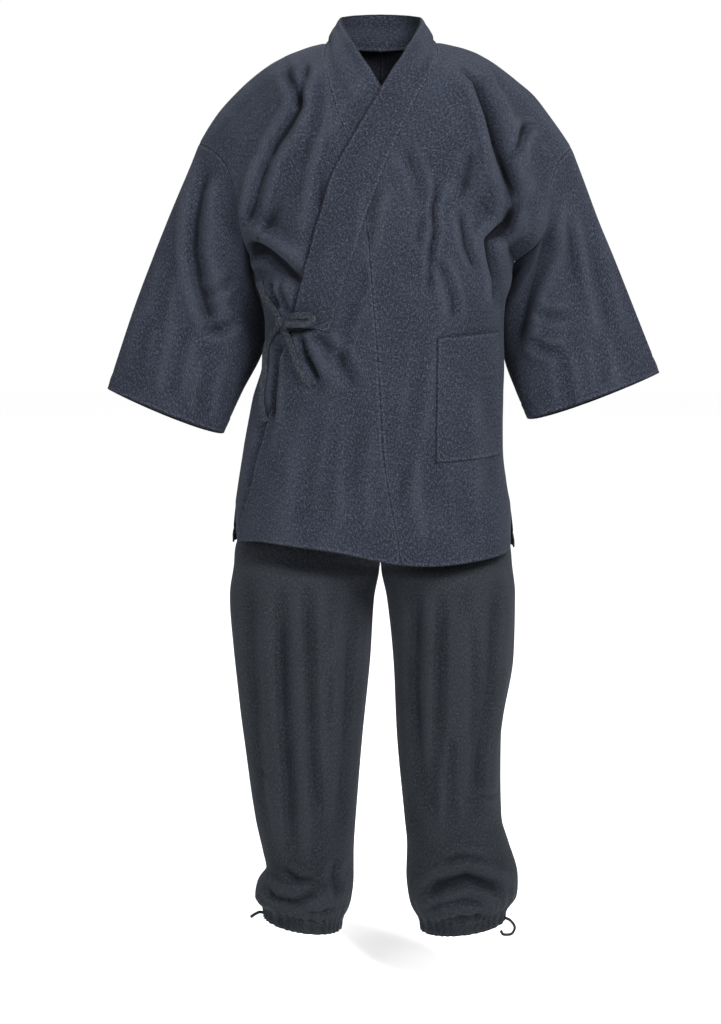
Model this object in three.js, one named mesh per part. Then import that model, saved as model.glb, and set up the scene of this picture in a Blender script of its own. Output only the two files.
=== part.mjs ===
import * as THREE from 'three';

// A samue set as it is worn: a wrapped jacket with wide sleeves over drawn-in trousers.
// Millimetres. +X is the wearer's left, the front faces -Y and +Z is up.
// The origin lies midway between the shoulders, level with the side neck points.

// Cloth and seams
const WALL = 2;
const COLLAR_WALL = 3;
const CASING_WALL = 3;
const SEAM_GAP = 0.3;
const HALF_GAP = SEAM_GAP / 2;
const ARMHOLE_GAP = 0.5;
// How far the under front lies below the over front
const LAYER = 8;
// How far the collar stands proud of the panels that it is sewn to
const COLLAR_RISE = 1;

// The jacket along its cloth: a run is a distance from the shoulder line, negative down the front
const ARMHOLE_RUN = 240;
const JACKET_RUN = 828;
const SLIT_RUN = 730;
const SLIT_OPENING = 9;
// How the shoulder line falls away from the neck
const DROOP = 2.9;
const LOWER_DROOP = 2;

// Grid counts
const ARMHOLE_ROWS = 10;
const LOWER_ROWS = 15;
const BODY_COLUMNS = 11;
const OKUMI_COLUMNS = 4;
const SLEEVE_ROWS = 14;
const LEG_COLUMNS = 10;
const LEG_ROW_LENGTH = 38;
const COLLAR_COLUMNS = 3;
const EDGE_COLUMNS = 2;

// The middle of the front and of the back, by run
const MIDDLE = [
  { run: -828, y: -146, z: -747, square: 2.3 },
  { run: -760, y: -141, z: -679, square: 2.3 },
  { run: -680, y: -137, z: -599, square: 2.3 },
  { run: -600, y: -134, z: -519, square: 2.3 },
  { run: -520, y: -132, z: -439, square: 2.35 },
  { run: -440, y: -133, z: -359, square: 2.4 },
  { run: -360, y: -135, z: -279, square: 2.4 },
  { run: -280, y: -134, z: -199, square: 2.3 },
  { run: -210, y: -127, z: -130, square: 2.2 },
  { run: -150, y: -113, z: -72, square: 2.1 },
  { run: -100, y: -87, z: -29, square: 2 },
  { run: -60, y: -56, z: -6, square: 2 },
  { run: -25, y: -25, z: 5, square: 2 },
  { run: 0, y: 0, z: 7, square: 2 },
  { run: 25, y: 25, z: 7, square: 2 },
  { run: 60, y: 58, z: 2, square: 2 },
  { run: 100, y: 88, z: -21, square: 2 },
  { run: 150, y: 108, z: -66, square: 2.1 },
  { run: 210, y: 116, z: -125, square: 2.2 },
  { run: 280, y: 120, z: -195, square: 2.3 },
  { run: 360, y: 122, z: -275, square: 2.4 },
  { run: 440, y: 125, z: -355, square: 2.4 },
  { run: 520, y: 130, z: -435, square: 2.35 },
  { run: 600, y: 136, z: -515, square: 2.3 },
  { run: 680, y: 140, z: -595, square: 2.3 },
  { run: 760, y: 143, z: -675, square: 2.3 },
  { run: 828, y: 146, z: -744, square: 2.3 },
];

// The edges that the sleeves are sewn to, from the shoulder point down to the underarm
const ARMHOLE = [
  { run: 0, frontY: 0, backY: 0, rightX: -266, rightZ: -141, leftX: 279, leftZ: -147 },
  { run: 40, frontY: -36, backY: 33, rightX: -245, rightZ: -152, leftX: 257, leftZ: -170 },
  { run: 90, frontY: -62, backY: 55, rightX: -222, rightZ: -177, leftX: 243, leftZ: -208 },
  { run: 140, frontY: -70, backY: 62, rightX: -208, rightZ: -224, leftX: 238, leftZ: -250 },
  { run: 190, frontY: -52, backY: 50, rightX: -202, rightZ: -272, leftX: 226, leftZ: -288 },
  { run: 240, frontY: 5, backY: 5, rightX: -191, rightZ: -314, leftX: 196, leftZ: -314 },
];

// The side seams, from the underarm to the hem
const SIDE_SEAM = [
  { run: 240, y: 5, rightX: -191, rightZ: -314, leftX: 196, leftZ: -314 },
  { run: 300, y: 2, rightX: -179, rightZ: -358, leftX: 186, leftZ: -356 },
  { run: 360, y: 0, rightX: -171, rightZ: -404, leftX: 182, leftZ: -404 },
  { run: 440, y: -2, rightX: -173, rightZ: -458, leftX: 183, leftZ: -458 },
  { run: 520, y: -2, rightX: -189, rightZ: -514, leftX: 182, leftZ: -516 },
  { run: 600, y: 0, rightX: -201, rightZ: -574, leftX: 181, leftZ: -576 },
  { run: 680, y: 0, rightX: -211, rightZ: -632, leftX: 186, leftZ: -632 },
  { run: 760, y: 0, rightX: -219, rightZ: -686, leftX: 197, leftZ: -686 },
  { run: 828, y: 0, rightX: -223, rightZ: -730, leftX: 203, leftZ: -738 },
];

// Seams and free edges on the front, as seen from the front
const OVER_EDGE = [
  { x: 0, z: -69 }, { x: -20, z: -104 }, { x: -41, z: -140 }, { x: -72, z: -198 },
  { x: -89, z: -255 }, { x: -109, z: -329 }, { x: -122, z: -379 }, { x: -131, z: -408 },
  { x: -147, z: -463 }, { x: -157, z: -505 }, { x: -167, z: -545 }, { x: -180, z: -599 },
  { x: -197, z: -665 }, { x: -211, z: -735 },
];
const OVER_OKUMI_SEAM = [
  { x: -22, z: -252 }, { x: -18, z: -292 }, { x: -12, z: -367 }, { x: -6, z: -437 },
  { x: -1, z: -520 }, { x: 3, z: -590 }, { x: 12, z: -650 }, { x: 30, z: -746 },
];
const UNDER_OKUMI_SEAM = [
  { x: 14, z: -299 }, { x: 11, z: -367 }, { x: 7, z: -437 }, { x: 2, z: -520 },
  { x: -3, z: -590 }, { x: -12, z: -650 }, { x: -30, z: -746 },
];
const UNDER_EDGE = [
  { x: 122, z: -412 }, { x: 130, z: -463 }, { x: 140, z: -545 }, { x: 152, z: -640 }, { x: 164, z: -742 },
];

// How far the front hem is lifted by the wrap, by share across
const HEM_LIFT = [
  { across: -1, lift: 8 }, { across: -0.76, lift: 20 }, { across: -0.58, lift: 27 }, { across: -0.36, lift: 25 },
  { across: -0.17, lift: 20 }, { across: 0, lift: 9 }, { across: 0.1, lift: 4 }, { across: 0.3, lift: 0 },
  { across: 0.75, lift: 3 }, { across: 1, lift: 4 },
];
// The under front's hem lies this much higher than the over front's, and lifting starts at this run
const UNDER_HEM_LIFT = 6;
const HEM_LIFT_RUN = 480;

// The collar, by the row of the body grid that it meets: its sewn edge and its free edge.
// lie is 1 where the band lies on the chest and 0 where it stands by itself.
const COLLAR_OVER = [
  { row: 9, seamX: -77, seamZ: -412, freeX: -131, freeY: 0, freeZ: -408, lie: 1 },
  { row: 10.5, seamX: -66, seamZ: -378, freeX: -121, freeY: 0, freeZ: -370, lie: 1 },
  { row: 12, seamX: -54, seamZ: -338, freeX: -110, freeY: 0, freeZ: -328, lie: 1 },
  { row: 13.5, seamX: -40, seamZ: -296, freeX: -98, freeY: 0, freeZ: -283, lie: 1 },
  { row: 15, seamX: -25, seamZ: -250, freeX: -84, freeY: 0, freeZ: -235, lie: 1 },
  { row: 16.25, seamX: -12, seamZ: -216, freeX: -72, freeY: 0, freeZ: -198, lie: 1 },
  { row: 17.5, seamX: 1, seamZ: -182, freeX: -57, freeY: 0, freeZ: -167, lie: 1 },
  { row: 18.75, seamX: 15, seamZ: -149, freeX: -40, freeY: 0, freeZ: -137, lie: 1 },
  { row: 20, seamX: 30, seamZ: -118, freeX: -20, freeY: 0, freeZ: -104, lie: 1 },
  { row: 21.25, seamX: 45, seamZ: -87, freeX: -1, freeY: -116, freeZ: -71, lie: 0.9 },
  { row: 22.5, seamX: 60, seamZ: -60, freeX: 16, freeY: -98, freeZ: -42, lie: 0.6 },
  { row: 23.5, seamX: 72, seamZ: -36, freeX: 32, freeY: -74, freeZ: -17, lie: 0.25 },
  { row: 24.3, seamX: 79, seamZ: -16, freeX: 47, freeY: -46, freeZ: 9, lie: 0 },
];
const COLLAR_NECK = [
  { row: 25, seamX: 81, seamRun: 0, freeX: 58, freeY: -14, freeZ: 30 },
  { row: 26.2, seamX: 75, seamRun: 26, freeX: 60, freeY: 18, freeZ: 41 },
  { row: 27.5, seamX: 58, seamRun: 47, freeX: 48, freeY: 44, freeZ: 47 },
  { row: 28.8, seamX: 30, seamRun: 61, freeX: 25, freeY: 59, freeZ: 50 },
  { row: 30, seamX: 0, seamRun: 65, freeX: 0, freeY: 63, freeZ: 51 },
];
const COLLAR_UNDER = [
  { row: 24.3, seamX: -80, seamZ: -18, freeX: -47, freeY: -46, freeZ: 9, lie: 0 },
  { row: 23.5, seamX: -76, seamZ: -42, freeX: -32, freeY: -74, freeZ: -17, lie: 0.25 },
  { row: 22.5, seamX: -69, seamZ: -72, freeX: -16, freeY: -94, freeZ: -42, lie: 0.6 },
  { row: 21.25, seamX: -58, seamZ: -106, freeX: -1, freeY: -107, freeZ: -66, lie: 0.9 },
  { row: 20, seamX: -43, seamZ: -144, freeX: 14, freeY: 0, freeZ: -104, lie: 1 },
  { row: 18.75, seamX: -28, seamZ: -182, freeX: 30, freeY: 0, freeZ: -144, lie: 1 },
  { row: 17.5, seamX: -13, seamZ: -220, freeX: 45, freeY: 0, freeZ: -184, lie: 1 },
  { row: 16.25, seamX: 2, seamZ: -258, freeX: 59, freeY: 0, freeZ: -224, lie: 1 },
  { row: 15, seamX: 17, seamZ: -297, freeX: 73, freeY: 0, freeZ: -264, lie: 1 },
  { row: 13, seamX: 33, seamZ: -340, freeX: 89, freeY: 0, freeZ: -310, lie: 1 },
  { row: 11, seamX: 49, seamZ: -382, freeX: 105, freeY: 0, freeZ: -358, lie: 1 },
  { row: 9, seamX: 64, seamZ: -420, freeX: 122, freeY: 0, freeZ: -412, lie: 1 },
];

// The sleeves: their outer fold and inner line by share of the length
const SLEEVES = {
  right: [
    { share: 0, outerX: -266, outerZ: -141, innerX: -191, innerY: 5, innerZ: -314, front: 70, back: 62, pinch: 0 },
    { share: 0.12, outerX: -281, outerZ: -178, innerX: -184, innerY: 30, innerZ: -346, front: 68, back: 62, pinch: 0 },
    { share: 0.35, outerX: -311, outerZ: -246, innerX: -172, innerY: 52, innerZ: -404, front: 64, back: 56, pinch: 0.2 },
    { share: 0.52, outerX: -335, outerZ: -304, innerX: -177, innerY: 40, innerZ: -447, front: 60, back: 54, pinch: 0.35 },
    { share: 0.75, outerX: -367, outerZ: -386, innerX: -206, innerY: 14, innerZ: -504, front: 54, back: 50, pinch: 0.5 },
    { share: 1, outerX: -406, outerZ: -499, innerX: -234, innerY: 0, innerZ: -564, front: 50, back: 46, pinch: 0.6 },
  ],
  left: [
    { share: 0, outerX: 279, outerZ: -147, innerX: 196, innerY: 5, innerZ: -314, front: 70, back: 62, pinch: 0 },
    { share: 0.12, outerX: 295, outerZ: -187, innerX: 191, innerY: 30, innerZ: -346, front: 68, back: 62, pinch: 0 },
    { share: 0.35, outerX: 321, outerZ: -254, innerX: 183, innerY: 52, innerZ: -404, front: 64, back: 56, pinch: 0.2 },
    { share: 0.52, outerX: 343, outerZ: -304, innerX: 186, innerY: 40, innerZ: -454, front: 60, back: 54, pinch: 0.35 },
    { share: 0.75, outerX: 376, outerZ: -383, innerX: 201, innerY: 14, innerZ: -500, front: 54, back: 50, pinch: 0.5 },
    { share: 1, outerX: 414, outerZ: -475, innerX: 219, innerY: 0, innerZ: -543, front: 52, back: 46, pinch: 0.6 },
  ],
};
const SLEEVE_BACK_DROP = 15;
const SLEEVE_BLEND = 0.3;

// The trousers by their fall below the waist seam, down the side seam.
// legged is 0 where the two sides make one seat and 1 where each is a leg by itself.
const TROUSERS = {
  right: [
    { fall: 0, outerX: -149, outerZ: -388, seamY: 5, innerX: 0, frontY: -106, frontZ: -390, backY: 100, backZ: -384, legged: 0, front: 0, back: 0 },
    { fall: 90, outerX: -155, outerZ: -475, seamY: 6, innerX: 0, frontY: -112, frontZ: -480, backY: 108, backZ: -476, legged: 0, front: 60, back: 70 },
    { fall: 180, outerX: -169, outerZ: -565, seamY: 7, innerX: 0, frontY: -112, frontZ: -576, backY: 114, backZ: -574, legged: 0, front: 80, back: 92 },
    { fall: 250, outerX: -183, outerZ: -632, seamY: 8, innerX: 0, frontY: -98, frontZ: -656, backY: 112, backZ: -660, legged: 0.06, front: 92, back: 102 },
    { fall: 310, outerX: -197, outerZ: -690, seamY: 8, innerX: 0, frontY: -66, frontZ: -718, backY: 82, backZ: -726, legged: 0.3, front: 100, back: 110 },
    { fall: 350, outerX: -217, outerZ: -732, seamY: 8, innerX: 0, frontY: -30, frontZ: -756, backY: 46, backZ: -760, legged: 0.62, front: 104, back: 112 },
    { fall: 385, outerX: -221, outerZ: -766, seamY: 8, innerX: -2, frontY: 8, frontZ: -778, backY: 8, backZ: -778, legged: 1, front: 106, back: 112 },
    { fall: 430, outerX: -227, outerZ: -810, seamY: 9, innerX: -9, frontY: 9, frontZ: -816, backY: 9, backZ: -816, legged: 1, front: 103, back: 110 },
    { fall: 530, outerX: -220, outerZ: -910, seamY: 10, innerX: -15, frontY: 10, frontZ: -912, backY: 10, backZ: -912, legged: 1, front: 94, back: 102 },
    { fall: 655, outerX: -207, outerZ: -1035, seamY: 14, innerX: -27, frontY: 14, frontZ: -1035, backY: 14, backZ: -1035, legged: 1, front: 80, back: 90 },
    { fall: 780, outerX: -192, outerZ: -1160, seamY: 22, innerX: -37, frontY: 22, frontZ: -1165, backY: 22, backZ: -1165, legged: 1, front: 68, back: 80 },
    { fall: 835, outerX: -181, outerZ: -1215, seamY: 27, innerX: -40, frontY: 27, frontZ: -1225, backY: 27, backZ: -1225, legged: 1, front: 62, back: 78 },
    { fall: 863, outerX: -176, outerZ: -1243, seamY: 30, innerX: -40, frontY: 30, frontZ: -1258, backY: 30, backZ: -1258, legged: 1, front: 60, back: 76 },
    { fall: 890, outerX: -190, outerZ: -1267, seamY: 32, innerX: -43, frontY: 32, frontZ: -1286, backY: 32, backZ: -1286, legged: 1, front: 70, back: 78 },
    { fall: 910, outerX: -193, outerZ: -1287, seamY: 34, innerX: -48, frontY: 34, frontZ: -1306, backY: 34, backZ: -1306, legged: 1, front: 69, back: 70 },
    { fall: 928, outerX: -184, outerZ: -1303, seamY: 36, innerX: -56, frontY: 36, frontZ: -1322, backY: 36, backZ: -1322, legged: 1, front: 60, back: 58 },
  ],
  left: [
    { fall: 0, outerX: 149, outerZ: -388, seamY: 5, innerX: 0, frontY: -106, frontZ: -390, backY: 100, backZ: -384, legged: 0, front: 0, back: 0 },
    { fall: 90, outerX: 155, outerZ: -475, seamY: 6, innerX: 0, frontY: -112, frontZ: -480, backY: 108, backZ: -476, legged: 0, front: 60, back: 70 },
    { fall: 180, outerX: 163, outerZ: -565, seamY: 7, innerX: 0, frontY: -112, frontZ: -576, backY: 114, backZ: -574, legged: 0, front: 80, back: 92 },
    { fall: 250, outerX: 170, outerZ: -632, seamY: 8, innerX: 0, frontY: -98, frontZ: -656, backY: 112, backZ: -660, legged: 0.06, front: 92, back: 102 },
    { fall: 310, outerX: 181, outerZ: -690, seamY: 8, innerX: 0, frontY: -66, frontZ: -718, backY: 82, backZ: -726, legged: 0.3, front: 100, back: 110 },
    { fall: 350, outerX: 195.1, outerZ: -732, seamY: 8, innerX: 0, frontY: -30, frontZ: -756, backY: 46, backZ: -760, legged: 0.62, front: 104, back: 112 },
    { fall: 385, outerX: 199, outerZ: -766, seamY: 8, innerX: 2, frontY: 8, frontZ: -778, backY: 8, backZ: -778, legged: 1, front: 106, back: 112 },
    { fall: 430, outerX: 204, outerZ: -810, seamY: 9, innerX: 10, frontY: 9, frontZ: -816, backY: 9, backZ: -816, legged: 1, front: 103, back: 110 },
    { fall: 530, outerX: 202, outerZ: -910, seamY: 10, innerX: 20, frontY: 10, frontZ: -912, backY: 10, backZ: -912, legged: 1, front: 92, back: 100 },
    { fall: 655, outerX: 185, outerZ: -1035, seamY: 14, innerX: 26, frontY: 14, frontZ: -1035, backY: 14, backZ: -1035, legged: 1, front: 78, back: 88 },
    { fall: 780, outerX: 188, outerZ: -1160, seamY: 22, innerX: 38, frontY: 22, frontZ: -1163, backY: 22, backZ: -1163, legged: 1, front: 70, back: 80 },
    { fall: 822, outerX: 200, outerZ: -1203, seamY: 27, innerX: 42, frontY: 27, frontZ: -1210, backY: 27, backZ: -1210, legged: 1, front: 68, back: 78 },
    { fall: 860, outerX: 213, outerZ: -1243, seamY: 30, innerX: 41, frontY: 30, frontZ: -1254, backY: 30, backZ: -1254, legged: 1, front: 66, back: 78 },
    { fall: 887, outerX: 215, outerZ: -1268, seamY: 32, innerX: 44, frontY: 32, frontZ: -1284, backY: 32, backZ: -1284, legged: 1, front: 72, back: 78 },
    { fall: 910, outerX: 212, outerZ: -1290, seamY: 34, innerX: 50, frontY: 34, frontZ: -1306, backY: 34, backZ: -1306, legged: 1, front: 70, back: 70 },
    { fall: 928, outerX: 199, outerZ: -1308, seamY: 36, innerX: 60, frontY: 36, frontZ: -1324, backY: 36, backZ: -1324, legged: 1, front: 60, back: 58 },
  ],
};

// Folds as seen from the front or from behind: a line, half a width and how deep it presses in.
// A negative depth stands proud.
const JACKET_FRONT_FOLDS = [
  { depth: 11, half: 16, line: [[-106, -40], [-116, -95], [-150, -147], [-171, -190], [-181, -235], [-190, -266]] },
  { depth: -5, half: 18, line: [[-176, -250], [-150, -272], [-116, -306]] },
  { depth: 8, half: 17, line: [[-178, -296], [-150, -310], [-122, -340]] },
  { depth: 12, half: 16, line: [[132, -52], [156, -105], [168, -154], [188, -215], [192, -262]] },
  { depth: 5, half: 14, line: [[81, -186], [69, -290], [67, -364], [60, -448], [43, -557], [22, -679]] },
  { depth: 4, half: 13, line: [[110, -240], [96, -339], [104, -380]] },
  { depth: -4, half: 20, line: [[30, -560], [40, -640], [60, -720]] },
  { depth: 4, half: 18, line: [[-90, -470], [-110, -580], [-120, -700]] },
];
const JACKET_BACK_FOLDS = [
  { depth: 9, half: 20, line: [[-120, -60], [-150, -150], [-172, -240]] },
  { depth: 9, half: 20, line: [[126, -60], [154, -150], [176, -240]] },
  { depth: 6, half: 22, line: [[-64, -180], [-70, -320], [-58, -460]] },
  { depth: 6, half: 22, line: [[72, -200], [66, -340], [60, -480]] },
  { depth: 6, half: 20, line: [[-160, -330], [-110, -380], [-40, -400]] },
  { depth: 6, half: 20, line: [[166, -330], [110, -376], [40, -404]] },
  { depth: -5, half: 24, line: [[-120, -520], [-130, -620], [-136, -730]] },
  { depth: -5, half: 24, line: [[110, -520], [120, -620], [126, -730]] },
];
const SLEEVE_FOLDS = {
  right: {
    front: [
      { depth: 9, half: 17, line: [[-262, -187], [-270, -259], [-273, -290], [-266, -348], [-249, -397], [-213, -430]] },
      { depth: -5, half: 20, line: [[-240, -230], [-240, -320], [-222, -385]] },
    ],
    back: [
      { depth: 9, half: 20, line: [[-250, -190], [-262, -290], [-240, -380]] },
      { depth: 6, half: 20, line: [[-300, -300], [-318, -400], [-330, -470]] },
    ],
  },
  left: {
    front: [
      { depth: 9, half: 17, line: [[244, -250], [232, -310], [214, -360], [200, -420]] },
      { depth: -6, half: 18, line: [[262, -210], [262, -300], [246, -380]] },
      { depth: 5, half: 18, line: [[300, -230], [320, -330], [336, -420]] },
    ],
    back: [
      { depth: 9, half: 20, line: [[262, -190], [272, -290], [250, -380]] },
      { depth: 6, half: 20, line: [[310, -300], [330, -390], [344, -450]] },
    ],
  },
};
const TROUSER_FOLDS = {
  right: {
    front: [
      { depth: 6, half: 16, line: [[-196, -760], [-192, -900], [-182, -1060], [-172, -1180]] },
      { depth: 7, half: 16, line: [[-146, -790], [-142, -1000], [-134, -1160], [-130, -1240]] },
      { depth: 6, half: 15, line: [[-106, -770], [-104, -920], [-98, -1080]] },
      { depth: 6, half: 14, line: [[-40, -820], [-50, -960], [-58, -1100]] },
      { depth: 10, half: 13, line: [[-176, -1273], [-140, -1282], [-92, -1262]] },
      { depth: 8, half: 12, line: [[-168, -1292], [-130, -1306], [-88, -1322], [-62, -1300]] },
    ],
    back: [
      { depth: 7, half: 20, line: [[-160, -700], [-150, -900], [-140, -1100]] },
      { depth: 7, half: 20, line: [[-70, -800], [-74, -980], [-84, -1160]] },
      { depth: 10, half: 14, line: [[-180, -1262], [-120, -1274], [-60, -1262]] },
    ],
  },
  left: {
    front: [
      { depth: 6, half: 16, line: [[56, -780], [54, -960], [62, -1090], [72, -1130]] },
      { depth: 6, half: 15, line: [[86, -800], [84, -980], [80, -1080]] },
      { depth: 7, half: 18, line: [[168, -760], [162, -920], [148, -1060], [150, -1160]] },
      { depth: -5, half: 18, line: [[122, -800], [118, -980], [116, -1140]] },
      { depth: 11, half: 14, line: [[66, -1280], [92, -1254], [132, -1240], [170, -1256], [190, -1276]] },
      { depth: 8, half: 12, line: [[84, -1322], [118, -1308], [150, -1306], [180, -1322]] },
    ],
    back: [
      { depth: 7, half: 20, line: [[150, -700], [144, -900], [136, -1100]] },
      { depth: 7, half: 20, line: [[62, -800], [70, -980], [84, -1160]] },
      { depth: 10, half: 14, line: [[60, -1262], [130, -1250], [190, -1258]] },
    ],
  },
};
// Folds fade out this close to a seam, as a share of the panel's width, and to the shoulder line
const FOLD_SEAM_FADE = 0.12;
const FOLD_SHOULDER_FADE = 45;

// The patch pocket on the over front, as seen from the front
const POCKET = {
  topRightX: 79, topRightZ: -420, topLeftX: 168, topLeftZ: -413,
  bottomRightX: 78, bottomRightZ: -597, bottomLeftX: 173, bottomLeftZ: -593,
};
const POCKET_MOUTH = 5;
const POCKET_LIFT = 0.7;
// The least part of a row or column of the front's grid that the pocket keeps at its edges
const POCKET_MARGIN = 0.15;
// The columns of the front's grid between which the pocket lies
const POCKET_FIRST_COLUMN = 3;
const POCKET_LAST_COLUMN = 9;

// The ties: flat tapes from the knot along points seen from the front, each with how far it stands
// off the cloth
const TAPE = { width: 10, thick: 2.4 };
const KNOT_GAP = 0.5;
const TIE_SIDE = [
  { x: -153, z: -379, off: 4 }, { x: -163, z: -358, off: 4 }, { x: -170, z: -340, off: 4 },
];
const TIE_LOOP = [
  { x: -118, z: -390, off: 11 }, { x: -102, z: -389, off: 10 },
  { x: -93, z: -394, off: 10 }, { x: -101, z: -401, off: 10 }, { x: -118, z: -401, off: 10 }, { x: -131, z: -402, off: 10 },
];
const TIE_TAIL_LONG = [
  { x: -154, z: -418, off: 5 }, { x: -161, z: -440, off: 4 }, { x: -163, z: -470, off: 4 },
  { x: -168, z: -505, off: 4 }, { x: -168, z: -530, off: 4 }, { x: -165, z: -542, off: 4 },
];
const TIE_TAIL_WIDE = [
  { x: -128, z: -425, off: 4 }, { x: -120, z: -452, off: 4 }, { x: -109, z: -476, off: 4 },
  { x: -99, z: -489, off: 4 },
];
const KNOT = { x: -140, z: -400, off: 5.2, halfWidth: 8.5, halfHeight: 8, halfDepth: 5.5 };
// The ends of the cords that draw the ankles in
const ANKLE_CORD = { width: 4.5, thick: 3 };
const ANKLE_TIE = {
  right: [
    { x: -179.5, y: 22, z: -1315 }, { x: -186, y: 20, z: -1313 }, { x: -193, y: 17, z: -1315 }, { x: -200, y: 14, z: -1319 },
  ],
  left: [
    { x: 193.5, y: 20, z: -1322 }, { x: 202, y: 14, z: -1324 }, { x: 209, y: 9, z: -1334 }, { x: 203, y: 7, z: -1344 },
    { x: 192, y: 8, z: -1345 }, { x: 187, y: 10, z: -1339 },
  ],
};

// The casings that draw the trousers in
const WAISTBAND_HEIGHT = 34;
const WAIST_GATHER = 1.2;
const ANKLE_HEIGHT = 20;
const ANKLE_GATHER = 1.5;
const ANKLE_SHRINK = 0.94;

// Materials: dark indigo denim
const JACKET_DENIM = { color: 0x2f3a4a, roughness: 0.9, metalness: 0 };
const TROUSER_DENIM = { color: 0x2a333f, roughness: 0.92, metalness: 0 };
const TAPE_DENIM = { color: 0x27303d, roughness: 0.9, metalness: 0 };

const SIGN = { right: -1, left: 1 };
const lerp = (a, b, t) => a + (b - a) * t;
const clamp = (t) => Math.min(1, Math.max(0, t));

/** A step from 0 at low to 1 at high with soft ends. */
function softStep(low, high, value) {
  const t = clamp((value - low) / (high - low));
  return t * t * (3 - 2 * t);
}

/** A smooth curve through one column of a table, by its key column, that never swings past a row. */
function through(rows, key, column) {
  const sorted = [...rows].sort((a, b) => a[key] - b[key]);
  const xs = sorted.map((row) => row[key]);
  const ys = sorted.map((row) => row[column]);
  const last = xs.length - 1;
  const secant = (i) => (ys[i + 1] - ys[i]) / (xs[i + 1] - xs[i]);
  const slopes = xs.map((_, i) => {
    if (i === 0) return secant(0);
    if (i === last) return secant(last - 1);
    const steepest = 3 * Math.min(Math.abs(secant(i - 1)), Math.abs(secant(i)));
    if (secant(i - 1) * secant(i) <= 0) return 0;
    const mean = (ys[i + 1] - ys[i - 1]) / (xs[i + 1] - xs[i - 1]);
    return Math.sign(mean) * Math.min(Math.abs(mean), steepest);
  });
  return (x) => {
    const at = Math.min(xs[last], Math.max(xs[0], x));
    let i = 0;
    while (i < last - 1 && at > xs[i + 1]) i += 1;
    const width = xs[i + 1] - xs[i];
    const t = (at - xs[i]) / width;
    const rise = ys[i + 1] - ys[i];
    const bendIn = slopes[i] * width - rise;
    const bendOut = rise - slopes[i + 1] * width;
    return lerp(ys[i], ys[i + 1], t) + t * (1 - t) * ((1 - t) * bendIn + t * bendOut);
  };
}

/** Curves through the named columns of a table. */
function columnsOf(rows, key, names) {
  return Object.fromEntries(names.map((name) => [name, through(rows, key, name)]));
}

/** How deep the folds press in at a point seen from the front or from behind. */
function foldDepth(folds, x, z) {
  let depth = 0;
  for (const fold of folds) {
    let nearest = Infinity;
    for (let i = 1; i < fold.line.length; i += 1) {
      const [ax, az] = fold.line[i - 1];
      const [bx, bz] = fold.line[i];
      const along = clamp(((x - ax) * (bx - ax) + (z - az) * (bz - az)) / ((bx - ax) ** 2 + (bz - az) ** 2));
      nearest = Math.min(nearest, Math.hypot(x - lerp(ax, bx, along), z - lerp(az, bz, along)));
    }
    if (nearest < fold.half) depth += fold.depth * 0.5 * (1 + Math.cos((Math.PI * nearest) / fold.half));
  }
  return depth;
}

/** The unit normal of a surface given as point(a, b), by small steps that stay inside its limits. */
function normalOf(point, a, b, stepA, stepB, limits) {
  const lowA = Math.max(limits.minA, a - stepA);
  const highA = Math.min(limits.maxA, a + stepA);
  const lowB = Math.max(limits.minB, b - stepB);
  const highB = Math.min(limits.maxB, b + stepB);
  const alongA = point(highA, b).sub(point(lowA, b));
  const alongB = point(a, highB).sub(point(a, lowB));
  return alongA.cross(alongB).normalize();
}

// The jacket's body as one surface: across runs from -1 at the right side to 1 at the left
const middle = columnsOf(MIDDLE, 'run', ['y', 'z', 'square']);
const armholeRows = ARMHOLE.flatMap((row) => [
  { ...row, run: -row.run, y: row.frontY },
  { ...row, y: row.backY },
]).filter((row, i) => i !== 0);
const armhole = columnsOf(armholeRows, 'run', ['y', 'rightX', 'rightZ', 'leftX', 'leftZ']);
const sideSeam = columnsOf(SIDE_SEAM, 'run', ['y', 'rightX', 'rightZ', 'leftX', 'leftZ']);
const TORSO_LIMITS = { minA: -1, maxA: 1, minB: -JACKET_RUN, maxB: JACKET_RUN };

/** The side edge of the front (negative run) or back panel, with the slit above the hem. */
function torsoEdge(side, run) {
  const down = Math.abs(run);
  const curves = down <= ARMHOLE_RUN ? armhole : sideSeam;
  const at = down <= ARMHOLE_RUN ? run : down;
  const open = Math.max(0, (down - SLIT_RUN) / (JACKET_RUN - SLIT_RUN));
  const forward = run < 0 ? -SLIT_OPENING * 1.6 * open : SLIT_OPENING * 0.5 * open;
  const inward = run < 0 ? SIGN[side] * SLIT_OPENING * open : 0;
  return {
    x: curves[`${side}X`](at) - inward,
    y: curves.y(at) + forward,
    z: curves[`${side}Z`](at),
  };
}

/** How far out sideways a share across lies, as a share of the half width. */
function sideShare(across, run) {
  const t = Math.min(1, Math.abs(across));
  return lerp(t, Math.sin((t * Math.PI) / 2), softStep(0, 200, Math.abs(run)));
}

function torsoBase(across, run) {
  const edge = torsoEdge(across < 0 ? 'right' : 'left', run);
  const out = sideShare(across, run);
  const square = middle.square(run);
  const forward = Math.max(0, 1 - out ** square) ** (1 / square);
  const droop = lerp(DROOP, LOWER_DROOP, softStep(100, 350, Math.abs(run)));
  return new THREE.Vector3(
    edge.x * out,
    lerp(edge.y, middle.y(run), forward),
    lerp(middle.z(run), edge.z, out ** droop),
  );
}

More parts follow.
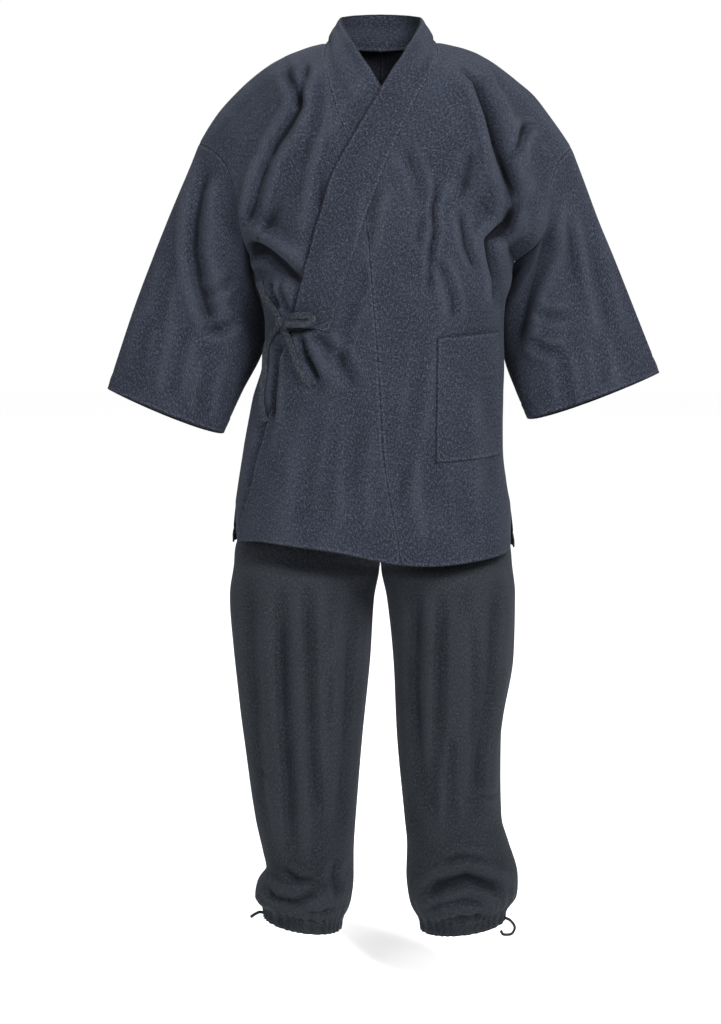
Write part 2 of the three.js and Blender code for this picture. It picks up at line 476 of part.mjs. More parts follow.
/** Finds the share across and the run of a point on the front, given as seen from the front. */
function onFront(x, z) {
  const side = x < 0 ? 'right' : 'left';
  const outAt = (run) => Math.min(1, Math.abs(x / torsoEdge(side, run).x));
  const acrossAt = (run) => {
    let low = 0;
    let high = 1;
    for (let i = 0; i < 40; i += 1) {
      const half = (low + high) / 2;
      if (sideShare(half, run) < outAt(run)) low = half;
      else high = half;
    }
    return low * SIGN[side];
  };
  let low = -JACKET_RUN;
  let high = 0;
  for (let i = 0; i < 40; i += 1) {
    const half = (low + high) / 2;
    if (torsoBase(acrossAt(half), half).z < z) low = half;
    else high = half;
  }
  return { across: acrossAt(low), run: low };
}

/** A smooth path of across and run through points seen from the front, by a key column. */
function frontPath(rows, key) {
  const placed = rows.map((row) => ({ key: row[key], ...onFront(row.x, row.z) }));
  return { across: through(placed, 'key', 'across'), run: through(placed, 'key', 'run') };
}

// The over front's free edge tells how far the under front is covered
const overEdgeRows = [...COLLAR_OVER.slice(-4).reverse().map((row) => ({ x: row.freeX, z: row.freeZ })), ...OVER_EDGE]
  .map((row) => onFront(row.x, row.z));
const overEdgeAcross = through(overEdgeRows, 'run', 'across');
const COVER_FADE = 0.14;

function covered(across, run) {
  const edge = overEdgeAcross(run);
  const fade = Math.min(COVER_FADE, 1 + edge);
  return softStep(edge - fade, edge, across);
}

/** The fold depth on the jacket's body, faded out at its seams. */
function torsoFold(across, run, point) {
  const seamFade = softStep(0, FOLD_SEAM_FADE, 1 - Math.abs(across));
  const shoulderFade = softStep(0, FOLD_SHOULDER_FADE, Math.abs(run));
  const folds = run < 0 ? JACKET_FRONT_FOLDS : JACKET_BACK_FOLDS;
  return seamFade * shoulderFade * foldDepth(folds, point.x, point.z);
}

/** A point of the jacket's body at a height above its outer face, over or under the wrap. */
function torsoPoint(across, run, lift, under) {
  const point = torsoBase(across, run);
  const normal = normalOf(torsoBase, across, run, 0.01, 4, TORSO_LIMITS);
  const sunk = under && run < 0 ? LAYER * covered(across, run) : 0;
  return point.addScaledVector(normal, lift - sunk - torsoFold(across, run, point));
}

function torsoNormal(across, run, under) {
  return normalOf((a, b) => torsoPoint(a, b, 0, under), across, run, 0.012, 5, TORSO_LIMITS);
}

const hemLift = through(HEM_LIFT, 'across', 'lift');

/** The run of a place on the front once the wrap has lifted the hem. */
function liftedRun(across, run, under) {
  if (run > -HEM_LIFT_RUN) return run;
  const share = (-run - HEM_LIFT_RUN) / (JACKET_RUN - HEM_LIFT_RUN);
  const more = under ? UNDER_HEM_LIFT * covered(across, run) : 0;
  return run + (hemLift(across) + more) * share ** 2;
}

/** The normal that two pieces share along a seam that stands proud; in a valley each keeps its own. */
function seamNormal(own, other) {
  return own.clone().addScaledVector(other, softStep(0.2, 0.8, own.dot(other))).normalize();
}

// Sleeves
const SLEEVE_COLUMNS = ['outerX', 'outerZ', 'innerX', 'innerY', 'innerZ', 'front', 'back', 'pinch'];
const sleeveCurves = {
  right: columnsOf(SLEEVES.right, 'share', SLEEVE_COLUMNS),
  left: columnsOf(SLEEVES.left, 'share', SLEEVE_COLUMNS),
};
const SLEEVE_LIMITS = { minA: 0, maxA: 1, minB: -Infinity, maxB: Infinity };

/** The run on the body's armhole edge that an angle round the sleeve is sewn to. */
function armholeRun(angle) {
  const turn = THREE.MathUtils.euclideanModulo(angle, 2 * Math.PI);
  return turn <= Math.PI ? (-ARMHOLE_RUN * turn) / Math.PI : (ARMHOLE_RUN * (2 * Math.PI - turn)) / Math.PI;
}

/** The sleeve's own section: angle 0 is the outer fold, a quarter turn is the front. */
function sleeveSection(side, share, angle) {
  const at = sleeveCurves[side];
  const inward = (1 - Math.cos(angle)) / 2;
  const swell = Math.sin(angle) * Math.abs(Math.sin(angle / 2)) ** Math.max(0, at.pinch(share));
  const depth = swell > 0 ? -at.front(share) * swell : -at.back(share) * swell;
  const drop = swell < 0 ? SLEEVE_BACK_DROP * share ** 2 * swell : 0;
  return new THREE.Vector3(
    lerp(at.outerX(share), at.innerX(share), inward),
    lerp(0, at.innerY(share), inward) + depth,
    lerp(at.outerZ(share), at.innerZ(share), inward) + drop,
  );
}

function sleeveBase(side, share, angle) {
  const point = sleeveSection(side, share, angle);
  const hold = 1 - softStep(0, SLEEVE_BLEND, share);
  if (hold === 0) return point;
  const run = armholeRun(angle);
  const sewn = torsoPoint(SIGN[side], run, 0, false).sub(sleeveSection(side, 0, angle));
  return point.addScaledVector(sewn, hold);
}

function sleevePoint(side, share, angle) {
  const base = (s, a) => sleeveBase(side, s, a);
  const point = base(share, angle);
  const front = Math.sin(angle) > 0;
  const fade = softStep(0, 0.15, share) * softStep(0, 0.4, Math.abs(Math.sin(angle)));
  const depth = fade * foldDepth(SLEEVE_FOLDS[side][front ? 'front' : 'back'], point.x, point.z);
  if (depth === 0) return point;
  return point.addScaledVector(normalOf(base, share, angle, 0.02, 0.1, SLEEVE_LIMITS), SIGN[side] * depth);
}

function sleeveNormal(side, share, angle) {
  const normal = normalOf((s, a) => sleevePoint(side, s, a), share, angle, 0.02, 0.1, SLEEVE_LIMITS);
  return normal.multiplyScalar(-SIGN[side]);
}

// Trousers
const TROUSER_COLUMNS = [
  'outerX', 'outerZ', 'seamY', 'innerX', 'frontY', 'frontZ', 'backY', 'backZ', 'legged', 'front', 'back',
];
const trouserCurves = {
  right: columnsOf(TROUSERS.right, 'fall', TROUSER_COLUMNS),
  left: columnsOf(TROUSERS.left, 'fall', TROUSER_COLUMNS),
};
const TROUSER_FALL = TROUSERS.right.at(-1).fall;
const TROUSER_LIMITS = { minA: 0, maxA: 1, minB: 0, maxB: TROUSER_FALL };

/** The trousers' own form: across is 0 at the side seam and 1 at the rise or the inside seam. */
function trouserBase(side, half, across, fall) {
  const at = trouserCurves[side];
  const forward = half === 'front' ? -1 : 1;
  const legged = clamp(at.legged(fall));
  const quarter = (across * Math.PI) / 2;
  const sway = lerp(1 - Math.cos(quarter), (1 - Math.cos(across * Math.PI)) / 2, legged);
  const innerY = at[`${half}Y`](fall);
  const seatY = lerp(at.seamY(fall), innerY, Math.sin(quarter));
  const legY = lerp(at.seamY(fall), innerY, sway) + forward * at[half](fall) * Math.sin(across * Math.PI);
  return new THREE.Vector3(
    lerp(at.outerX(fall), at.innerX(fall), sway),
    lerp(seatY, legY, legged),
    lerp(at.outerZ(fall), at[`${half}Z`](fall), sway),
  );
}

function trouserPoint(side, half, across, fall) {
  const base = (a, b) => trouserBase(side, half, a, b);
  const point = base(across, fall);
  const fade = softStep(0, FOLD_SEAM_FADE, across) * softStep(0, FOLD_SEAM_FADE, 1 - across);
  const depth = fade * foldDepth(TROUSER_FOLDS[side][half], point.x, point.z);
  if (depth === 0) return point;
  return point.addScaledVector(trouserOut(side, half, base, across, fall), -depth);
}

function trouserOut(side, half, point, across, fall) {
  const normal = normalOf(point, across, fall, 0.02, 6, TROUSER_LIMITS);
  const forward = half === 'front' ? -1 : 1;
  return normal.multiplyScalar(-forward * SIGN[side]);
}

// Solids

/**
 * A closed solid from a grid of outer and inner points. A cell that the test leaves out is open,
 * and a wrapped grid joins its last column to its first.
 */
function clothSolid(grid, wrapped = false, keeps = () => true) {
  const rows = grid.length - 1;
  const across = grid[0].length;
  const cells = wrapped ? across : across - 1;
  const positions = [];
  const known = new Map();
  const index = (i, j, face) => {
    const name = `${i},${j % across},${face}`;
    if (!known.has(name)) {
      known.set(name, positions.length / 3);
      positions.push(...grid[i][j % across][face].toArray());
    }
    return known.get(name);
  };
  const triangles = [];
  const quad = (a, b, c, d) => triangles.push(a, b, c, a, c, d);
  const solid = (i, j) => {
    if (i < 0 || i >= rows) return false;
    if (!wrapped && (j < 0 || j >= cells)) return false;
    return keeps(i, THREE.MathUtils.euclideanModulo(j, cells));
  };
  const wall = (i0, j0, i1, j1) => {
    quad(index(i0, j0, 'outer'), index(i1, j1, 'outer'), index(i1, j1, 'inner'), index(i0, j0, 'inner'));
  };
  for (let i = 0; i < rows; i += 1) {
    for (let j = 0; j < cells; j += 1) {
      if (!solid(i, j)) continue;
      quad(index(i, j, 'outer'), index(i, j + 1, 'outer'), index(i + 1, j + 1, 'outer'), index(i + 1, j, 'outer'));
      quad(index(i, j, 'inner'), index(i + 1, j, 'inner'), index(i + 1, j + 1, 'inner'), index(i, j + 1, 'inner'));
      if (!solid(i - 1, j)) wall(i, j + 1, i, j);
      if (!solid(i + 1, j)) wall(i + 1, j, i + 1, j + 1);
      if (!solid(i, j - 1)) wall(i, j, i + 1, j);
      if (!solid(i, j + 1)) wall(i + 1, j + 1, i, j + 1);
    }
  }
  const geometry = new THREE.BufferGeometry();
  geometry.setAttribute('position', new THREE.Float32BufferAttribute(positions, 3));
  geometry.setIndex(volumeOf(positions, triangles) < 0 ? triangles.toReversed() : triangles);
  geometry.computeVertexNormals();
  return geometry;
}

function volumeOf(positions, triangles) {
  const corner = (i) => new THREE.Vector3().fromArray(positions, 3 * triangles[i]);
  let volume = 0;
  for (let i = 0; i < triangles.length; i += 3) {
    volume += corner(i).dot(corner(i + 1).cross(corner(i + 2)));
  }
  return volume;
}

/** One place of a cloth wall: its outer point and, a wall's thickness inside it, its inner point. */
function wallPlace(outer, normal, thickness) {
  return { outer, inner: outer.clone().addScaledVector(normal, -thickness) };
}

const group = new THREE.Group();

function addPiece(name, geometry, finish) {
  const piece = new THREE.Mesh(geometry, new THREE.MeshStandardMaterial(finish));
  piece.name = name;
  group.add(piece);
}

// Where the collar's sewn edge and free edge run, by the row of the body grid
const NECK_ROW = 25;
const BACK_NECK_ROW = 30;
const OKUMI_TOP_ROW = 15;
const COLLAR_END_ROW = 9;

/** The collar's sewn and free edges on one side, from its lower end to the middle of the back. */
function collarSide(table, sign) {
  const lying = table.map((row) => {
    const seam = onFront(row.seamX, row.seamZ);
    const free = onFront(row.freeX, row.freeZ);
    return {
      row: row.row, seamAcross: seam.across, seamRun: seam.run, freeAcross: free.across, freeRun: free.run,
      freeX: row.freeX, freeY: row.freeY, freeZ: row.freeZ, lie: row.lie,
    };
  });
  const standing = COLLAR_NECK.map((row) => {
    const halfWidth = Math.abs(torsoEdge(sign < 0 ? 'right' : 'left', row.seamRun).x);
    const across = (sign * row.seamX) / halfWidth;
    return {
      row: row.row, seamAcross: across, seamRun: row.seamRun, freeAcross: across, freeRun: 0,
      freeX: sign * row.freeX, freeY: row.freeY, freeZ: row.freeZ, lie: 0,
    };
  });
  return columnsOf([...lying, ...standing], 'row', [
    'seamAcross', 'seamRun', 'freeAcross', 'freeRun', 'freeX', 'freeY', 'freeZ', 'lie',
  ]);
}
const collarCurves = { left: collarSide(COLLAR_OVER, 1), right: collarSide(COLLAR_UNDER, -1) };
const COLLAR_BULGE = 4;

/** A point of the collar's outer face: width is 0 at the sewn edge and 1 at the free edge. */
function collarPoint(station, width) {
  const side = station <= BACK_NECK_ROW ? 'left' : 'right';
  const row = side === 'left' ? station : 2 * BACK_NECK_ROW - station;
  const at = collarCurves[side];
  const under = side === 'right';
  const lie = clamp(at.lie(row));
  const seam = torsoPoint(at.seamAcross(row), at.seamRun(row), lie * COLLAR_RISE, under);
  const free = new THREE.Vector3(at.freeX(row), at.freeY(row), at.freeZ(row));
  const standing = seam.lerp(free, width);
  const bulge = COLLAR_BULGE * Math.sin(Math.PI * width);
  standing.add(new THREE.Vector3(standing.x, standing.y - 5, 0).setLength(bulge));
  if (lie === 0) return standing;
  const across = lerp(at.seamAcross(row), at.freeAcross(row), width);
  const run = lerp(at.seamRun(row), at.freeRun(row), width);
  return standing.lerp(torsoPoint(across, run, COLLAR_RISE, under), lie);
}

const COLLAR_LIMITS = { minA: COLLAR_END_ROW, maxA: 2 * BACK_NECK_ROW - COLLAR_END_ROW, minB: 0, maxB: 1 };

function collarNormal(station, width) {
  return normalOf(collarPoint, station, width, 0.3, 0.1, COLLAR_LIMITS);
}

// The jacket's body and overlap gores share their rows, so that their seams match.
// A row's share counts the okumi's seam from its top down to the hem.
const okumiSeams = {
  left: frontPath(OVER_OKUMI_SEAM, 'z'),
  right: frontPath(UNDER_OKUMI_SEAM, 'z'),
};
const frontEdges = {
  left: frontPath(OVER_EDGE.slice(7), 'z'),
  right: frontPath(UNDER_EDGE, 'z'),
};
const OKUMI_TOP = { left: -254, right: -300 };
const OKUMI_BOTTOM = -746;
const FRONT_EDGE_TOP = { left: -409, right: -413 };
// Where the okumi's grid turns from the collar's end towards the hem, as a share of its width
const OKUMI_TURN = 0.56;
const OKUMI_TURN_HEM = 0.7;
// The collar begins this share of its width from its seam, which leaves the seam's gap
const COLLAR_SEAM_START = 0.008;
// How far a tape turns sideways with the body, per millimetre from the middle
const TAPE_LEAN = 0.004;
const BODY_ROWS = 2 * (ARMHOLE_ROWS + LOWER_ROWS);

/** Where a row of the body meets the okumi's seam, given as across and run. */
function okumiSeamPlace(side, row) {
  const z = lerp(OKUMI_BOTTOM, OKUMI_TOP[side], row / OKUMI_TOP_ROW);
  const run = row === 0 ? -JACKET_RUN : okumiSeams[side].run(z);
  return { across: okumiSeams[side].across(z), run };
}

/** The run of the body's outer edge at a row, from the front hem over the shoulder to the back hem. */
function outerRun(row) {
  const fromShoulder = row - NECK_ROW;
  const down = Math.abs(fromShoulder);
  const lower = (JACKET_RUN - ARMHOLE_RUN) / LOWER_ROWS;
  const run = down <= ARMHOLE_ROWS
    ? (ARMHOLE_RUN / ARMHOLE_ROWS) * down
    : ARMHOLE_RUN + lower * (down - ARMHOLE_ROWS);
  return Math.sign(fromShoulder) * run;
}

/** The inner edge of a body length at a row: okumi seam, collar seam, then the middle of the back. */
function bodyInnerPlace(side, row) {
  if (row <= OKUMI_TOP_ROW) return okumiSeamPlace(side, row);
  const at = collarCurves[side];
  if (row <= BACK_NECK_ROW) return { across: at.seamAcross(row), run: at.seamRun(row) };
  const share = (row - BACK_NECK_ROW) / (BODY_ROWS - BACK_NECK_ROW);
  return { across: 0, run: lerp(at.seamRun(BACK_NECK_ROW), JACKET_RUN, share) };
}

/** Moves a point sideways along a surface by a distance, towards larger or smaller across. */
function besideSeam(point, next, distance) {
  const along = next.clone().sub(point);
  return point.clone().addScaledVector(along.normalize(), distance);
}

function bodyGrid(side) {
  const under = side === 'right';
  const grid = [];
  for (let row = 0; row <= BODY_ROWS; row += 1) {
    const inner = bodyInnerPlace(side, row);
    const edgeRun = outerRun(row);
    const places = [];
    for (let column = 0; column <= BODY_COLUMNS; column += 1) {
      const share = column / BODY_COLUMNS;
      const across = lerp(inner.across, SIGN[side], share);
      const run = liftedRun(across, lerp(inner.run, edgeRun, share), under);
      const outer = torsoPoint(across, run, 0, under);
      let normal = torsoNormal(across, run, under);
      if (column === BODY_COLUMNS && Math.abs(edgeRun) <= ARMHOLE_RUN) {
        normal = seamNormal(normal, sleeveNormal(side, 0, armholeAngle(edgeRun)));
      }
      places.push({ outer, normal });
    }
    places[0].outer = besideSeam(places[0].outer, places[1].outer, HALF_GAP);
    if (Math.abs(edgeRun) >= ARMHOLE_RUN) places.at(-1).outer.y += Math.sign(edgeRun) * HALF_GAP;
    grid.push(places.map((place) => wallPlace(place.outer, place.normal, WALL)));
  }
  return grid;
}

/** The front or the back of a body length: its rows on one side of the shoulder line, just clear of it. */
function bodyHalf(grid, half) {
  const front = half === 'front';
  const rows = front ? grid.slice(0, NECK_ROW + 1) : grid.slice(NECK_ROW);
  const edge = front ? NECK_ROW : 0;
  const next = front ? rows[edge - 1] : rows[edge + 1];
  rows[edge] = rows[edge].map((place, column) => ({
    outer: besideSeam(place.outer, next[column].outer, HALF_GAP),
    inner: besideSeam(place.inner, next[column].inner, HALF_GAP),
  }));
  return rows;
}

/** The angle round the sleeve that is sewn to a run on the body's armhole edge. */
function armholeAngle(run) {
  const turn = (Math.PI * Math.abs(run)) / ARMHOLE_RUN;
  return run <= 0 ? turn : 2 * Math.PI - turn;
}

/**
 * An overlap gore: its rows run from the body's seam to the collar's seam and, below the collar's
 * end, on to the free front edge.
 */
function okumiGrid(side) {
  const under = side === 'right';
  const grid = [];
  for (let row = 0; row <= OKUMI_TOP_ROW; row += 1) {
    const seam = okumiSeamPlace(side, row);
    const collarRow = Math.max(row, COLLAR_END_ROW);
    const collar = collarCurves[side];
    const edgeZ = lerp(OKUMI_BOTTOM, FRONT_EDGE_TOP[side], Math.min(1, row / COLLAR_END_ROW));
    const edge = {
      across: frontEdges[side].across(edgeZ),
      run: row === 0 ? -JACKET_RUN : frontEdges[side].run(edgeZ),
    };
    let turn = { across: collar.seamAcross(collarRow), run: collar.seamRun(collarRow) };
    if (row < COLLAR_END_ROW) {
      const share = lerp(OKUMI_TURN, OKUMI_TURN_HEM, 1 - row / COLLAR_END_ROW);
      turn = { across: lerp(seam.across, edge.across, share), run: lerp(seam.run, edge.run, share) };
    }
    const places = [];
    for (let column = 0; column <= OKUMI_COLUMNS + EDGE_COLUMNS; column += 1) {
      const beyond = Math.max(0, column - OKUMI_COLUMNS) / EDGE_COLUMNS;
      const within = Math.min(1, column / OKUMI_COLUMNS);
      const across = lerp(lerp(seam.across, turn.across, within), edge.across, beyond);
      const run = liftedRun(across, lerp(lerp(seam.run, turn.run, within), edge.run, beyond), under);
      places.push({ outer: torsoPoint(across, run, 0, under), normal: torsoNormal(across, run, under) });
    }
    places[0].outer = besideSeam(places[0].outer, places[1].outer, HALF_GAP);
    grid.push(places.map((place) => wallPlace(place.outer, place.normal, WALL)));
  }
  return grid;
}

/** The collar's rows, from the over front's end round the neck to the under front's end. */
function collarGrid() {
  const grid = [];
  for (let station = COLLAR_LIMITS.minA; station <= COLLAR_LIMITS.maxA; station += 1) {
    const places = [];
    for (let column = 0; column <= COLLAR_COLUMNS; column += 1) {
      const width = Math.max(column / COLLAR_COLUMNS, COLLAR_SEAM_START);
      places.push(wallPlace(collarPoint(station, width), collarNormal(station, width), COLLAR_WALL));
    }
    grid.push(places);
  }
  return grid;
}

/** A sleeve's rings, from the armhole to its hem. */
function sleeveGrid(side) {
  const around = 2 * ARMHOLE_ROWS;
  const grid = [];
  for (let row = 0; row <= SLEEVE_ROWS; row += 1) {
    const share = row / SLEEVE_ROWS;
    const places = [];
    for (let step = 0; step < around; step += 1) {
      const angle = (2 * Math.PI * step) / around;
      let outer = sleevePoint(side, share, angle);
      let normal = sleeveNormal(side, share, angle);
      if (row === 0) {
        const run = armholeRun(angle);
        outer = besideSeam(outer, sleevePoint(side, 0.03, angle), ARMHOLE_GAP);
        normal = seamNormal(normal, torsoNormal(SIGN[side], run, false));
      }
      places.push(wallPlace(outer, normal, WALL));
    }
    grid.push(places);
  }
  return grid;
}

/** The falls at which the trousers' rows lie. */
function trouserFalls() {
  const count = Math.round(TROUSER_FALL / LEG_ROW_LENGTH);
  return Array.from({ length: count + 1 }, (_, i) => (TROUSER_FALL * i) / count);
}

function trouserGrid(side, half) {
  const point = (a, b) => trouserPoint(side, half, a, b);
  const forward = half === 'front' ? -1 : 1;
  return trouserFalls().map((fall) => {
    const places = [];
    for (let column = 0; column <= LEG_COLUMNS; column += 1) {
      const across = column / LEG_COLUMNS;
      const outer = point(across, fall);
      const normal = trouserOut(side, half, point, across, fall);
      if (fall === 0 || fall === TROUSER_FALL) normal.setZ(0).normalize();
      const legged = clamp(trouserCurves[side].legged(fall));
      if (column === 0) outer.y += forward * HALF_GAP;
      if (column === LEG_COLUMNS) {
        outer.y += forward * HALF_GAP * legged;
        outer.x += SIGN[side] * HALF_GAP;
      }
      places.push(wallPlace(outer, normal, WALL));
    }
    return places;
  });
}

/** The ring of places round the waist or round one ankle, from the panels' own edges. */
function casingRing(parts, fall) {
  return parts.flatMap(({ side, half, inwards }) => {
    const steps = Array.from({ length: LEG_COLUMNS }, (_, i) => i / LEG_COLUMNS);
    return steps.map((step) => {
      const across = inwards ? step : 1 - step;
      const point = (a, b) => trouserPoint(side, half, a, b);
      return { outer: point(across, fall), normal: trouserOut(side, half, point, across, fall) };
    });
  });
}

/** A gathered casing: a ring of places for each row, drawn in and with every other place proud. */
function casingGrid(ring, rows) {
  const centre = ring.reduce((sum, place) => sum.add(place.outer), new THREE.Vector3()).divideScalar(ring.length);
  return rows.map((row) => ring.map((place, i) => {
    const outer = place.outer.clone().sub(centre);
    outer.x *= row.shrink;
    outer.y *= row.shrink;
    outer.add(centre);
    outer.z += row.height;
    const level = place.normal.clone().setZ(0).normalize();
    outer.addScaledVector(level, i % 2 === 0 ? row.gather : 0);
    return wallPlace(outer, level, CASING_WALL);
  }));
}

/** A place between the points of a wall's grid, by fractions of its rows and columns. */
function gridPlace(grid, row, column) {
  const i = Math.min(grid.length - 2, Math.floor(row));
  const j = Math.min(grid[0].length - 2, Math.floor(column));
  const mix = (face) => {
    const low = grid[i][j][face].clone().lerp(grid[i][j + 1][face], column - j);
    const high = grid[i + 1][j][face].clone().lerp(grid[i + 1][j + 1][face], column - j);
    return low.lerp(high, row - i);
  };
  const outer = mix('outer');
  return { outer, normal: outer.clone().sub(mix('inner')).normalize() };
}

/** The fraction of a growing series at which it reaches a value. */
function reach(valueAt, low, high, target) {
  let below = low;
  let above = high;
  for (let i = 0; i < 30; i += 1) {
    const half = (below + above) / 2;
    if (valueAt(half) < target) below = half;
    else above = half;
  }
  return below;
}

/** The pocket's outer and inner points: the over front's own points within the pocket, moved out. */
function pocketGrid() {
  const cloth = bodyGrid('left');
  const place = (row, column) => gridPlace(cloth, row, column);
  const edgeX = (z, name, low, high) => {
    const up = (z - POCKET[`bottom${name}Z`]) / (POCKET[`top${name}Z`] - POCKET[`bottom${name}Z`]);
    return lerp(low, high, up);
  };
  const columnAt = (row, name, lowX, highX) => reach(
    (column) => place(row, column).outer.x - edgeX(place(row, column).outer.z, name, lowX, highX), 0, BODY_COLUMNS, 0,
  );
  const rightColumn = (row) => columnAt(row, 'Right', POCKET.bottomRightX, POCKET.topRightX);
  const leftColumn = (row) => columnAt(row, 'Left', POCKET.bottomLeftX, POCKET.topLeftX);
  const rowAt = (column, right, left) => reach((row) => {
    const { outer } = place(row, column);
    const across = (outer.x - POCKET.topRightX) / (POCKET.topLeftX - POCKET.topRightX);
    return outer.z - lerp(right, left, across);
  }, 0, NECK_ROW - ARMHOLE_ROWS, 0);
  const bottomRow = (column) => rowAt(column, POCKET.bottomRightZ, POCKET.bottomLeftZ);
  const topRow = (column) => rowAt(column, POCKET.topRightZ, POCKET.topLeftZ);
  const widest = Array.from({ length: POCKET_LAST_COLUMN - POCKET_FIRST_COLUMN + 1 }, (_, i) => POCKET_FIRST_COLUMN + i);
  const firstRow = Math.ceil(Math.max(...widest.map(bottomRow)) + POCKET_MARGIN);
  const lastRow = Math.floor(Math.min(...widest.map(topRow)) - POCKET_MARGIN);
  const firstColumn = Math.ceil(Math.max(rightColumn(firstRow), rightColumn(lastRow)) + POCKET_MARGIN);
  const lastColumn = Math.floor(Math.min(leftColumn(firstRow), leftColumn(lastRow)) - POCKET_MARGIN);
  const rows = [];
  for (let row = firstRow - 1; row <= lastRow + 1; row += 1) rows.push(row);
  return rows.map((whole) => {
    const rowOf = (column) => {
      if (whole < firstRow) return bottomRow(column);
      return whole > lastRow ? topRow(column) : whole;
    };
    let right = rightColumn(whole);
    let left = leftColumn(whole);
    for (let i = 0; i < 6; i += 1) {
      right = rightColumn(rowOf(right));
      left = leftColumn(rowOf(left));
    }
    const columns = [right];
    for (let column = firstColumn; column <= lastColumn; column += 1) columns.push(column);
    columns.push(left);
    return columns.map((column) => {
      const at = place(rowOf(column), column);
      const up = (rowOf(column) - bottomRow(column)) / (topRow(column) - bottomRow(column));
      const aside = (column - right) / (left - right);
      const open = POCKET_LIFT + POCKET_MOUTH * softStep(0.5, 1, up) * Math.sin(Math.PI * aside);
      return {
        outer: at.outer.clone().addScaledVector(at.normal, open + WALL),
        inner: at.outer.clone().addScaledVector(at.normal, open),
      };
    });
  });
}

/** A point over the front, given as seen from the front with how far it stands off. */
function overFront(row) {
  const place = onFront(row.x, row.z);
  return torsoPoint(place.across, place.run, row.off, false);
}

/** The points of a tape from the knot's own surface over the front. */
function tapePoints(rows) {
  const points = rows.map(overFront);
  const centre = overFront(KNOT);
  const way = points[0].clone().sub(centre).normalize();
  const sizes = new THREE.Vector3(KNOT.halfWidth, KNOT.halfDepth, KNOT.halfHeight);
  const reachOut = 1 / way.clone().divide(sizes).length();
  return [centre.addScaledVector(way, reachOut + KNOT_GAP), ...points];
}

/** A flat tape along points, broad side to the front. */
function tapeSolid(points, size) {
  const path = new THREE.CatmullRomCurve3(points);
  const steps = 4 * (points.length - 1);
  const grid = [];
  for (let i = 0; i <= steps; i += 1) {
    const centre = path.getPoint(i / steps);
    const along = path.getTangent(i / steps);
    const out = new THREE.Vector3(centre.x * TAPE_LEAN, -1, 0).normalize();
    const broad = along.clone().cross(out).normalize();
    const face = broad.clone().cross(along).normalize();
    const corner = (wide, deep) => centre.clone()
      .addScaledVector(broad, (wide * size.width) / 2)
      .addScaledVector(face, (deep * size.thick) / 2);
    grid.push([-1, 1].map((wide) => ({ outer: corner(wide, 1), inner: corner(wide, -1) })));
  }
  return clothSolid(grid);
}

function knotSolid() {
  const centre = overFront(KNOT);
  const geometry = new THREE.IcosahedronGeometry(1, 2);
  geometry.scale(KNOT.halfWidth, KNOT.halfDepth, KNOT.halfHeight);
  geometry.translate(centre.x, centre.y, centre.z);
  return geometry;
}

for (const side of ['left', 'right']) {
  const length = bodyGrid(side);
  for (const half of ['front', 'back']) {
    addPiece(`body_${half}_${side}`, clothSolid(bodyHalf(length, half)), JACKET_DENIM);
  }
  const keeps = (row, column) => row < COLLAR_END_ROW || column < OKUMI_COLUMNS;
  addPiece(`okumi_${side}`, clothSolid(okumiGrid(side), false, keeps), JACKET_DENIM);
}
addPiece('collar', clothSolid(collarGrid()), JACKET_DENIM);
addPiece('sleeve_left', clothSolid(sleeveGrid('left'), true), JACKET_DENIM);
addPiece('sleeve_right', clothSolid(sleeveGrid('right'), true), JACKET_DENIM);
addPiece('pocket', clothSolid(pocketGrid()), JACKET_DENIM);
addPiece('tie_side', tapeSolid(tapePoints(TIE_SIDE), TAPE), TAPE_DENIM);
addPiece('tie_knot', knotSolid(), TAPE_DENIM);
addPiece('tie_loop', tapeSolid(tapePoints(TIE_LOOP), TAPE), TAPE_DENIM);
addPiece('tie_tail_long', tapeSolid(tapePoints(TIE_TAIL_LONG), TAPE), TAPE_DENIM);
addPiece('tie_tail_wide', tapeSolid(tapePoints(TIE_TAIL_WIDE), TAPE), TAPE_DENIM);
for (const half of ['front', 'back']) {
  for (const side of ['left', 'right']) {
    addPiece(`trouser_${half}_${side}`, clothSolid(trouserGrid(side, half)), TROUSER_DENIM);
  }
}
const waistRing = casingRing([
  { side: 'right', half: 'front', inwards: true },
  { side: 'left', half: 'front', inwards: false },
  { side: 'left', half: 'back', inwards: true },
  { side: 'right', half: 'back', inwards: false },
], 0);
const waistRows = [
  { height: SEAM_GAP, shrink: 1, gather: 0 },
  { height: WAISTBAND_HEIGHT / 2, shrink: 1, gather: WAIST_GATHER },
  { height: WAISTBAND_HEIGHT, shrink: 1, gather: WAIST_GATHER },
];
addPiece('waistband', clothSolid(casingGrid(waistRing, waistRows), true), TROUSER_DENIM);
const ankleRows = [
  { height: -SEAM_GAP, shrink: 1, gather: 0 },
  { height: -ANKLE_HEIGHT / 2, shrink: ANKLE_SHRINK, gather: ANKLE_GATHER },
  { height: -ANKLE_HEIGHT, shrink: ANKLE_SHRINK, gather: ANKLE_GATHER },
];
for (const side of ['left', 'right']) {
  const ring = casingRing([
    { side, half: 'front', inwards: true },
    { side, half: 'back', inwards: false },
  ], TROUSER_FALL);
  addPiece(`ankle_${side}`, clothSolid(casingGrid(ring, ankleRows), true), TROUSER_DENIM);
  const ends = ANKLE_TIE[side].map((end) => new THREE.Vector3(end.x, end.y, end.z));
  addPiece(`ankle_tie_${side}`, tapeSolid(ends, ANKLE_CORD), TAPE_DENIM);
}

export default group;
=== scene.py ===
"""A samue set of indigo denim as it is worn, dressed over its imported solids.

Sizes are in millimetres and become metres when a mesh is made. +X is the left side as it is worn, the
front faces -Y and +Z is up. The origin lies midway between the shoulders, level with the side neck
points.
A run is a distance along the jacket's cloth from the shoulder line, negative down the front.
"""
import logging
import math
from dataclasses import dataclass, field
from enum import Enum
from typing import Sequence

